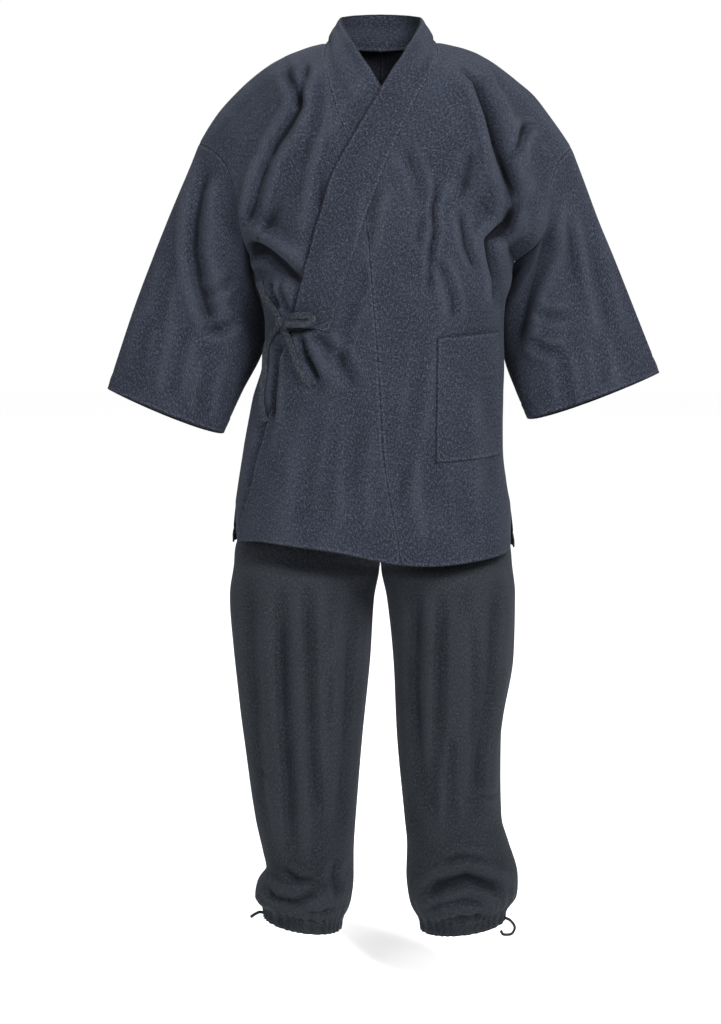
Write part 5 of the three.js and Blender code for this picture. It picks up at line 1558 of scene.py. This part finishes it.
TROUSER_FOLDS = {
    (Side.RIGHT, Half.FRONT): (
        Fold(5, 13, ((-196, -760), (-192, -900), (-182, -1060), (-172, -1180)), 0.5),
        Fold(6.6, 12, ((-146, -770), (-142, -1000), (-134, -1160), (-130, -1240)), 0.5),
        Fold(5, 11, ((-106, -760), (-104, -920), (-98, -1080), (-92, -1160)), 0.5),
        Fold(5, 11, ((-40, -800), (-50, -960), (-58, -1100), (-60, -1180)), 0.5),
        Fold(2.5, 9, ((-72, -900), (-76, -1000), (-74, -1080)), 0.5),
        Fold(2.5, 9, ((-164, -960), (-160, -1060), (-152, -1140)), 0.5),
        Fold(1.3, 6, ((-190, -1074), (-168, -1078), (-140, -1076)), 0.6),
        Fold(9.5, 10, ((-184, -1262), (-160, -1278), (-130, -1280), (-92, -1262)), 0.5),
        Fold(7.5, 8, ((-176, -1288), (-150, -1302), (-116, -1312), (-84, -1324)), 0.5),
        Fold(5.3, 7, ((-124, -1290), (-96, -1300), (-66, -1296)), 0.5),
        Fold(4.2, 7, ((-150, -1228), (-124, -1246), (-96, -1244)), 0.5),
        Fold(4.2, 7, ((-66, -1210), (-72, -1246), (-62, -1276)), 0.5),
    ),
    (Side.RIGHT, Half.BACK): (
        Fold(5.8, 15, ((-160, -700), (-150, -900), (-140, -1100))),
        Fold(5.8, 15, ((-70, -800), (-74, -980), (-84, -1160))),
        Fold(3.3, 12, ((-112, -760), (-108, -900), (-110, -1050))),
        Fold(9.5, 11, ((-180, -1262), (-120, -1274), (-60, -1262))),
        Fold(6.4, 9, ((-170, -1290), (-120, -1306), (-70, -1296))),
    ),
    (Side.LEFT, Half.FRONT): (
        Fold(5.8, 12, ((53, -770), (53, -960), (62, -1090), (76, -1150)), 0.5),
        Fold(5, 11, ((86, -780), (84, -980), (80, -1080), (84, -1160)), 0.5),
        Fold(5.8, 13, ((168, -760), (162, -920), (148, -1060), (150, -1160)), 0.5),
        Fold(-3.3, 15, ((122, -800), (118, -980), (116, -1140)), 0.2),
        Fold(3.3, 10, ((140, -820), (138, -940), (132, -1040)), 0.5),
        Fold(2.5, 9, ((108, -1000), (104, -1090), (108, -1170)), 0.5),
        Fold(1.3, 6, ((122, -1112), (150, -1116), (182, -1112)), 0.6),
        Fold(10.6, 11, ((66, -1280), (92, -1254), (132, -1240), (170, -1256), (194, -1278)), 0.5),
        Fold(7.5, 8, ((84, -1322), (118, -1306), (150, -1304), (184, -1320)), 0.5),
        Fold(5.3, 7, ((70, -1304), (92, -1284), (126, -1274), (160, -1280)), 0.5),
        Fold(4.2, 7, ((94, -1216), (124, -1206), (160, -1214)), 0.5),
    ),
    (Side.LEFT, Half.BACK): (
        Fold(5.8, 15, ((150, -700), (144, -900), (136, -1100))),
        Fold(5.8, 15, ((62, -800), (70, -980), (84, -1160))),
        Fold(3.3, 12, ((104, -760), (104, -900), (108, -1050))),
        Fold(9.5, 11, ((60, -1262), (130, -1250), (190, -1258))),
        Fold(6.4, 9, ((72, -1296), (124, -1300), (178, -1292))),
    ),
}


@dataclass
class Leg:
    """One side of the trousers: across is 0 at the side seam and 1 at the rise or the inside seam.

    Legged is 0 where the two sides make one seat and 1 where each is a leg by itself.
    """

    side: Side
    fall: float = 928
    pitch: float = 4.4
    pleats: int = 15
    pleat_wander: tuple[float, float] = (0.35, 19)
    pleat_fade: float = 0.06
    gather: float = 1.5
    gather_fall: float = 72
    waist_fall: float = 60
    hold_fall: float = 22
    panel_width: float = 255
    seam_fade: float = 0.12
    swell: float = 1.4
    broad_swell: tuple[float, float, float] = (40, 40, 90)
    small_swell: tuple[float, float, float] = (18, 18, 36)
    swell_seed: int = 21
    right: tuple = (
        (0, -149, -388, 5, 0, -106, -390, 100, -384, 0, 0, 0),
        (90, -155, -475, 6, 0, -112, -480, 108, -476, 0, 60, 70),
        (180, -169, -565, 7, 0, -112, -576, 114, -574, 0, 80, 92),
        (250, -183, -632, 8, 0, -98, -656, 112, -660, 0.06, 92, 102),
        (310, -197, -690, 8, 0, -66, -718, 82, -726, 0.3, 100, 110),
        (350, -217, -732, 8, 0, -30, -756, 46, -760, 0.62, 104, 112),
        (385, -221, -766, 8, -2, 8, -778, 8, -778, 1, 106, 112),
        (430, -227, -810, 9, -9, 9, -816, 9, -816, 1, 103, 110),
        (530, -220, -910, 10, -15, 10, -912, 10, -912, 1, 94, 102),
        (655, -207, -1035, 14, -27, 14, -1035, 14, -1035, 1, 80, 90),
        (780, -192, -1160, 22, -37, 22, -1165, 22, -1165, 1, 68, 80),
        (835, -181, -1215, 27, -40, 27, -1225, 27, -1225, 1, 62, 78),
        (863, -176, -1243, 30, -40, 30, -1258, 30, -1258, 1, 60, 76),
        (890, -190, -1267, 32, -43, 32, -1286, 32, -1286, 1, 70, 78),
        (910, -193, -1287, 34, -48, 34, -1306, 34, -1306, 1, 69, 70),
        (928, -184, -1303, 36, -56, 36, -1322, 36, -1322, 1, 60, 58),
    )
    left: tuple = (
        (0, 149, -388, 5, 0, -106, -390, 100, -384, 0, 0, 0),
        (90, 155, -475, 6, 0, -112, -480, 108, -476, 0, 60, 70),
        (180, 163, -565, 7, 0, -112, -576, 114, -574, 0, 80, 92),
        (250, 170, -632, 8, 0, -98, -656, 112, -660, 0.06, 92, 102),
        (310, 181, -690, 8, 0, -66, -718, 82, -726, 0.3, 100, 110),
        (350, 195.1, -732, 8, 0, -30, -756, 46, -760, 0.62, 104, 112),
        (385, 199, -766, 8, 2, 8, -778, 8, -778, 1, 106, 112),
        (430, 204, -810, 9, 10, 9, -816, 9, -816, 1, 103, 110),
        (530, 202, -910, 10, 20, 10, -912, 10, -912, 1, 92, 100),
        (655, 185, -1035, 14, 26, 14, -1035, 14, -1035, 1, 78, 88),
        (780, 188, -1160, 22, 38, 22, -1163, 22, -1163, 1, 70, 80),
        (822, 200, -1203, 27, 42, 27, -1210, 27, -1210, 1, 68, 78),
        (860, 213, -1243, 30, 41, 30, -1254, 30, -1254, 1, 66, 78),
        (887, 215, -1268, 32, 44, 32, -1284, 32, -1284, 1, 72, 78),
        (910, 212, -1290, 34, 50, 34, -1306, 34, -1306, 1, 70, 70),
        (928, 199, -1308, 36, 60, 36, -1324, 36, -1324, 1, 60, 58),
    )

    def __post_init__(self) -> None:
        """Chooses the side's own sections."""
        names = "fall outer_x outer_z seam_y inner_x front_y front_z back_y back_z legged front back"
        self.at = Table(names, *(self.right if self.side is Side.RIGHT else self.left))

    def base(self, half: Half, across: Array, fall: Array) -> Array:
        """The smooth form.

        Args:
            half: The front or the back.
            across: The share across.
            fall: The distance down from the waist.

        Returns:
            The points.
        """
        at = self.at
        legged = np.clip(at("legged", fall), 0, 1)
        quarter = across * math.pi / 2
        sway = blend(1 - np.cos(quarter), (1 - np.cos(across * math.pi)) / 2, legged)
        seam_y, inner_y = at("seam_y", fall), at(f"{half.word}_y", fall)
        seat_y = blend(seam_y, inner_y, np.sin(quarter))
        leg_y = blend(seam_y, inner_y, sway) + half.value * at(half.word, fall) * np.sin(across * math.pi)
        x = blend(at("outer_x", fall), at("inner_x", fall), sway)
        z = blend(at("outer_z", fall), at(f"{half.word}_z", fall), sway)
        return np.stack([x, blend(seat_y, leg_y, legged), z], axis=-1)

    def pleat(self, half: Half, across: Array) -> Array:
        """The gathers' wave from -1 to 1, none at the seams.

        Args:
            half: The front or the back.
            across: The share across.

        Returns:
            The wave.
        """
        size, waves = self.pleat_wander
        wander = size * np.sin(across * waves + half.value + self.side.value)
        fade = soft_step(0, self.pleat_fade, across) * soft_step(0, self.pleat_fade, 1 - across)
        return fade * np.sin(2 * math.pi * (self.pleats * across + wander))

    def panel(self, half: Half, material: bpy.types.Material) -> bpy.types.Object:
        """The front or the back of the side, with its folds and the gathers above the ankle.

        Args:
            half: The front or the back.
            material: The cloth's material.

        Returns:
            The piece.
        """
        fall = spaced([self.fall], self.pitch) * self.fall
        fall, across = np.meshgrid(fall, spaced([self.panel_width], self.pitch), indexing="ij")
        points = self.base(half, across, fall)
        folds = relief_of(TROUSER_FOLDS[self.side, half], points[..., 0], points[..., 2])
        fade = soft_step(0, self.seam_fade, across) * soft_step(0, self.seam_fade, 1 - across)
        swell = swells(points, self.swell, self.broad_swell, self.small_swell, self.swell_seed)
        fade = fade * soft_step(0, self.hold_fall, self.fall - fall)
        drawn = soft_step(self.fall - self.gather_fall, self.fall, fall) + soft_step(self.waist_fall, 0, fall)
        press = fade * (folds - swell) - self.gather * drawn * self.pleat(half, across)
        name = f"trouser_{half.word}_{self.side.word}"
        shell = Shell(name, points, seams=(Edge.FIRST_COLUMN, Edge.LAST_COLUMN, Edge.LAST_ROW))
        shell.points = points - shell.normals() * press[..., None]
        piece = shell.build([name], material)
        shell.declare(["waistband_cloth"])
        return piece


@dataclass
class Casing:
    """A drawn-in casing: a hemmed tube of cloth round a cord, sewn to the gathered cloth."""

    name: str
    legs: tuple[Leg, ...]
    fall: float
    height: float
    shrink: float
    gather: float = 1.0
    cord: float = 1.0
    cord_wave: float = 0.3
    drawn_by: float = 0.5
    tuck: float = 2.5
    proud: float = 0.8
    edge_hem: float = 2.2
    thickness: float = 2.2
    pitch: float = 1.6
    steps: int = 84

    def dress(self, material: bpy.types.Material, worn: Sequence[bpy.types.Object] = ()) -> bpy.types.Object:
        """Builds the casing round the edges of its panels.

        Args:
            material: The cloth's material.
            worn: The separate pieces on it; not used.

        Returns:
            The piece.
        """
        share = np.arange(self.steps) / self.steps
        first, last = self.legs[0], self.legs[-1]
        parts = [(first, Half.FRONT, share), (first, Half.BACK, 1 - share)]
        if first is not last:
            parts[1:1] = [(last, Half.FRONT, 1 - share), (last, Half.BACK, share)]
        places = [leg.base(half, across, np.full(across.shape, self.fall)) for leg, half, across in parts]
        ring = np.concatenate(places)
        wave = np.concatenate([leg.pleat(half, across) for leg, half, across in parts])
        centre = ring.mean(axis=0)
        along = np.roll(ring, -1, axis=0) - np.roll(ring, 1, axis=0)
        out = unit(np.stack([along[:, 1], -along[:, 0], 0 * along[:, 0]], axis=-1))
        out = out * np.sign((out * (ring - centre)).sum())
        start = -math.copysign(self.tuck, self.height)
        rows = []
        for down in spaced([abs(self.height)], self.pitch):
            drawn = blend(1, self.shrink, soft_step(0, self.drawn_by, down))
            round_cord = self.cord * math.sin(math.pi * down) * (1 + self.cord_wave * wave)
            swell = self.proud + self.gather * wave + round_cord
            points = centre + (ring - centre) * (drawn, drawn, 1) + out * swell[:, None]
            rows.append(points + (0, 0, blend(start, self.height, down)))
        hems = {Edge.LAST_ROW: self.edge_hem, Edge.FIRST_ROW: self.edge_hem}
        shell = Shell(self.name, np.array(rows), self.thickness, wrapped=True, hems=hems)
        piece = shell.build([self.name], material)
        shell.declare([])
        return piece


@dataclass
class Tape:
    """A flat sewn tape or cord end along points, broad side to the front."""

    name: str
    points: Array
    width: float
    thick: float
    lean: float = 0.004
    corners: int = 16
    pitch: float = 1.5
    margin: float = 1.4
    square: float = 0.45
    crown: float = 0.7
    dip: float = 0.12
    dip_reach: float = 0.16
    uneven: float = 0.05
    uneven_cell: tuple[float, float, float] = (9, 9, 9)
    end_size: float = 0.86

    def centres(self) -> Array:
        """Close points on the smooth line through the tape's points.

        Returns:
            The points.
        """
        chord = np.concatenate([[0], np.cumsum(np.linalg.norm(np.diff(self.points, axis=0), axis=-1))])
        at = np.linspace(0, chord[-1], max(8, round(chord[-1] / self.pitch)))
        return np.stack([through(chord, self.points[:, axis], at) for axis in range(3)], axis=-1)

    def dress(self, material: bpy.types.Material) -> bpy.types.Object:
        """Builds the tape with its rounded edges and its slightly uneven pressing.

        Args:
            material: The cloth's material.

        Returns:
            The piece.
        """
        line = self.centres()
        along = unit(np.gradient(line, axis=0))
        out = unit(np.stack([line[:, 0] * self.lean, 0 * line[:, 0] - 1, 0 * line[:, 0]], axis=-1))
        broad = unit(np.cross(along, out))
        face = np.cross(broad, along)
        angle = np.arange(self.corners) / self.corners * 2 * math.pi
        wide = np.sign(np.cos(angle)) * np.abs(np.cos(angle)) ** self.square * self.width / 2
        deep = np.sign(np.sin(angle)) * np.abs(np.sin(angle)) ** self.crown * self.thick / 2
        middle = np.exp(-((wide / (self.dip_reach * self.width)) ** 2))
        deep = deep - self.dip * self.thick * middle * np.sign(deep)
        grow = 1 + self.uneven * unevenness(line, self.uneven_cell, 31)
        grow[[0, -1]] *= self.end_size
        grid = line[:, None] + broad[:, None] * (wide * grow[:, None])[..., None]
        grid = grid + face[:, None] * deep[None, :, None]
        rows, columns = grid.shape[:2]
        index = np.arange(rows * columns).reshape(rows, columns)
        turned = np.roll(index, -1, axis=1)
        quads = np.stack([index[:-1], turned[:-1], turned[1:], index[1:]], axis=-1).reshape(-1, 4)
        half = np.arange(columns // 2 - 1)
        cap = np.stack([half, half + 1, columns - 2 - half, columns - 1 - half], axis=-1)
        faces = np.concatenate([quads, index[-1][cap], index[0][cap][:, ::-1]])
        mesh = mesh_of(self.name, grid.reshape(-1, 3), faces)
        length = np.concatenate([[0], np.cumsum(np.linalg.norm(np.diff(line, axis=0), axis=-1))])
        length, wide = (part.reshape(-1) for part in np.meshgrid(length, wide, indexing="ij"))
        put_coordinates(mesh, np.stack([wide + self.width, length], axis=-1), None)
        put_attribute(mesh, "stitch", np.abs(self.width / 2 - self.margin - np.abs(wide)))
        put_attribute(mesh, "along", length)
        put_attribute(mesh, "seam", 0 * length + FAR)
        put_attribute(mesh, "hollow", 0 * length)
        return attach(self.name, [self.name], mesh, material)

    def length(self) -> float:
        """The tape's length in metres."""
        return float(np.linalg.norm(np.diff(self.centres(), axis=0), axis=-1).sum()) * MM


@dataclass
class Ties:
    """The bow at the right side: a knot, a side tape, a loop and two tails.

    A tape's line is given as X, Z and the height off the cloth.
    """

    torso: Torso
    width: float = 10
    thick: float = 2.4
    knot: tuple[float, float, float] = (-140, -400, 5.2)
    knot_size: tuple[float, float, float] = (8.5, 5.5, 8)
    gap: float = 0.5
    knot_cells: int = 14
    wrap_way: tuple[float, float] = (0.92, 0.38)
    wrap_half: float = 0.5
    wrap_line: float = 0.09
    wrap_rise: float = 0.05
    wrap_groove: float = 0.16
    pulled_rise: float = 0.05
    pulled_full: float = 0.8
    pulled_ways: tuple[float, float] = (4, 9)
    # Strength of the painted shade in the knot's wrap groove.
    groove_shade: float = 3
    lines: tuple = (
        ("tie_side", ((-153, -379, 4), (-163, -358, 4), (-170, -340, 4))),
        ("tie_loop", (
            (-118, -390, 11), (-102, -389, 10), (-93, -394, 10), (-101, -401, 10), (-118, -401, 10),
            (-131, -402, 10),
        )),
        ("tie_tail_long", (
            (-154, -418, 5), (-161, -440, 4), (-163, -470, 4), (-168, -505, 4), (-168, -530, 4),
            (-165, -542, 4),
        )),
        ("tie_tail_wide", ((-128, -425, 4), (-120, -452, 4), (-109, -476, 4), (-99, -489, 4))),
    )

    def over_front(self, rows: Sequence[Sequence[float]]) -> Array:
        """Places over the front, given as seen from the front with how far they stand off.

        Args:
            rows: Places as X, Z and the height off the cloth.

        Returns:
            The points.
        """
        x, z, off = np.array(rows, dtype=float).T
        across, run = self.torso.on_front(x, z)
        return self.torso.point(across, run, off)

    def dress(self, material: bpy.types.Material) -> None:
        """Builds the knot and its tapes.

        Args:
            material: The cloth's material.
        """
        centre = self.over_front([self.knot])[0]
        knot = self.tied(centre, material)
        for name, rows in self.lines:
            points = self.over_front(rows)
            way = unit(points[0] - centre)
            reach = 1 / np.linalg.norm(way / self.knot_size)
            start = centre + way * (reach + self.gap)
            tape = Tape(name, np.concatenate([[start], points]), self.width, self.thick)
            piece = tape.dress(material)
            flat = (self.width * MM, tape.length())

    def tied(self, centre: Array, material: bpy.types.Material) -> bpy.types.Object:
        """The knot: a tape wrapped once over the others, with the creases that it pulls.

        Args:
            centre: The middle of the knot.
            material: The cloth's material.

        Returns:
            The piece.
        """
        count = self.knot_cells + 1
        step = np.linspace(-1, 1, count)
        a, b = np.meshgrid(step, step, indexing="ij")
        one = np.ones_like(a)
        sheets = [(one, a, b), (-one, b, a), (b, one, a), (a, -one, b), (a, b, one), (b, a, -one)]
        way = unit(np.concatenate([np.stack(sheet, axis=-1).reshape(-1, 3) for sheet in sheets]))
        lean = np.abs(way[:, 0] * self.wrap_way[0] + way[:, 2] * self.wrap_way[1])
        groove = np.exp(-((lean - self.wrap_half) / self.wrap_line) ** 2)
        ribs = np.cos(way[:, 2] * self.pulled_ways[1] + way[:, 0] * self.pulled_ways[0])
        pulled = ribs * soft_step(self.wrap_half, self.pulled_full, lean)
        raised = self.wrap_rise * (lean < self.wrap_half) + self.pulled_rise * pulled
        size = 1 + raised - self.wrap_groove * groove
        vertices = centre + way * size[:, None] * self.knot_size
        index = np.arange(len(way)).reshape(6, count, count)
        corners = [index[:, :-1, :-1], index[:, 1:, :-1], index[:, 1:, 1:], index[:, :-1, 1:]]
        faces = np.stack(corners, axis=-1)
        _, first, same = np.unique(np.round(way, 6), axis=0, return_index=True, return_inverse=True)
        mesh = mesh_of("tie_knot", vertices[first], same.reshape(-1)[faces.reshape(-1, 4)])
        put_coordinates(mesh, (way[first] * self.knot_size)[:, [0, 2]] + 20, None)
        for name in ("stitch", "along", "seam"):
            put_attribute(mesh, name, np.full(len(first), FAR))
        # Painted shade along the wrap's groove, carried by the hollow attribute.
        put_attribute(mesh, "hollow", groove[first] * self.groove_shade)
        return attach("tie_knot", ["tie_knot"], mesh, material)


WAIST_HEIGHT = 34
ANKLE_HEIGHT = 20
ANKLE_SHRINK = 0.94
CORD_SIZE = (4.5, 3)
ANKLE_TIES = {
    Side.RIGHT: ((-179.5, 22, -1315), (-186, 20, -1313), (-193, 17, -1315), (-200, 14, -1319)),
    Side.LEFT: ((193.5, 20, -1322), (202, 14, -1324), (209, 9, -1334), (203, 7, -1344), (192, 8, -1345),
                (187, 10, -1339)),
}


@dataclass
class Studio:
    """The camera at the photograph's angle, a pale floor and soft light, in metres.

    A lamp is a name, a place, a size and a power, and faces the height of the aim.
    """

    camera_place: tuple[float, float, float] = (-0.0298, -2.8, -0.33)
    pitch: float = 7.217
    lens: float = 66.15
    sensor: float = 36
    far: float = 100
    floor_height: float = -1.447
    floor_size: float = 30.0
    world: float = 1.0
    aim: float = -0.6
    lamps: tuple = (("key", (1.5, -2.6, 1.5), 1.2, 330), ("fill", (-1.7, -2.8, 0.5), 1.4, 90))

    def set_camera(self) -> None:
        """Places the camera."""
        data = bpy.data.cameras.new("camera")
        data.lens = self.lens
        data.sensor_width = self.sensor
        data.clip_end = self.far
        camera = bpy.data.objects.new("camera", data)
        camera.location = self.camera_place
        camera.rotation_euler = (math.radians(90 - self.pitch), 0, 0)
        bpy.context.scene.collection.objects.link(camera)
        bpy.context.scene.camera = camera

    def lay_floor(self) -> None:
        """Lays the floor below the ankles."""
        half = self.floor_size / 2
        corners = [(-half, -half), (half, -half), (half, half), (-half, half)]
        mesh = bpy.data.meshes.new("floor")
        mesh.from_pydata([(x, y, self.floor_height) for x, y in corners], [], [(0, 1, 2, 3)])
        mesh.materials.append(Plain("floor_white", (0.97, 0.97, 0.97)).material())
        floor = bpy.data.objects.new("floor", mesh)
        bpy.context.scene.collection.objects.link(floor)

    def light(self) -> None:
        """Hangs two large soft lamps in front and lets the white room fill in."""
        world = bpy.data.worlds.new("room")
        world.use_nodes = True
        background = world.node_tree.nodes["Background"]
        background.inputs["Color"].default_value = (1, 1, 1, 1)
        background.inputs["Strength"].default_value = self.world
        bpy.context.scene.world = world
        bpy.context.scene.view_settings.view_transform = "Standard"
        for name, place, size, power in self.lamps:
            data = bpy.data.lights.new(name, "AREA")
            data.shape = "SQUARE"
            data.size = size
            data.energy = power
            lamp = bpy.data.objects.new(name, data)
            lamp.location = place
            x, y, z = place
            lamp.rotation_euler = (math.atan2(math.hypot(x, y), z - self.aim), 0, math.atan2(x, -y))
            bpy.context.scene.collection.objects.link(lamp)


def main() -> None:
    """Builds the set piece by piece."""
    logging.basicConfig(level=logging.INFO, format="%(message)s")
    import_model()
    studio = Studio()
    studio.set_camera()
    studio.lay_floor()
    studio.light()
    jacket, trouser, tape = (finish.material() for finish in (JACKET_DENIM, TROUSER_DENIM, TAPE_DENIM))
    torso = Torso()
    collar = Collar(torso)
    body = Body(torso, collar)
    for side in Side:
        body.length(side, jacket)
        body.okumi(side, jacket)
        Sleeve(torso, side).dress(jacket)
    collar.dress(jacket)
    Pocket(torso).dress(jacket)
    Ties(torso).dress(tape)
    legs = (Leg(Side.RIGHT), Leg(Side.LEFT))
    Casing("waistband", legs, fall=0, height=WAIST_HEIGHT, shrink=1).dress(trouser)
    for leg in legs:
        for half in Half:
            leg.panel(half, trouser)
        word = leg.side.word
        ends = np.array(ANKLE_TIES[leg.side], dtype=float)
        tie = Tape(f"ankle_tie_{word}", ends, *CORD_SIZE).dress(tape)
        ankle = Casing(f"ankle_{word}", (leg,), fall=leg.fall, height=-ANKLE_HEIGHT, shrink=ANKLE_SHRINK)
        ankle.dress(trouser, [tie])
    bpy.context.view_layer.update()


if __name__ == "__main__":
    main()
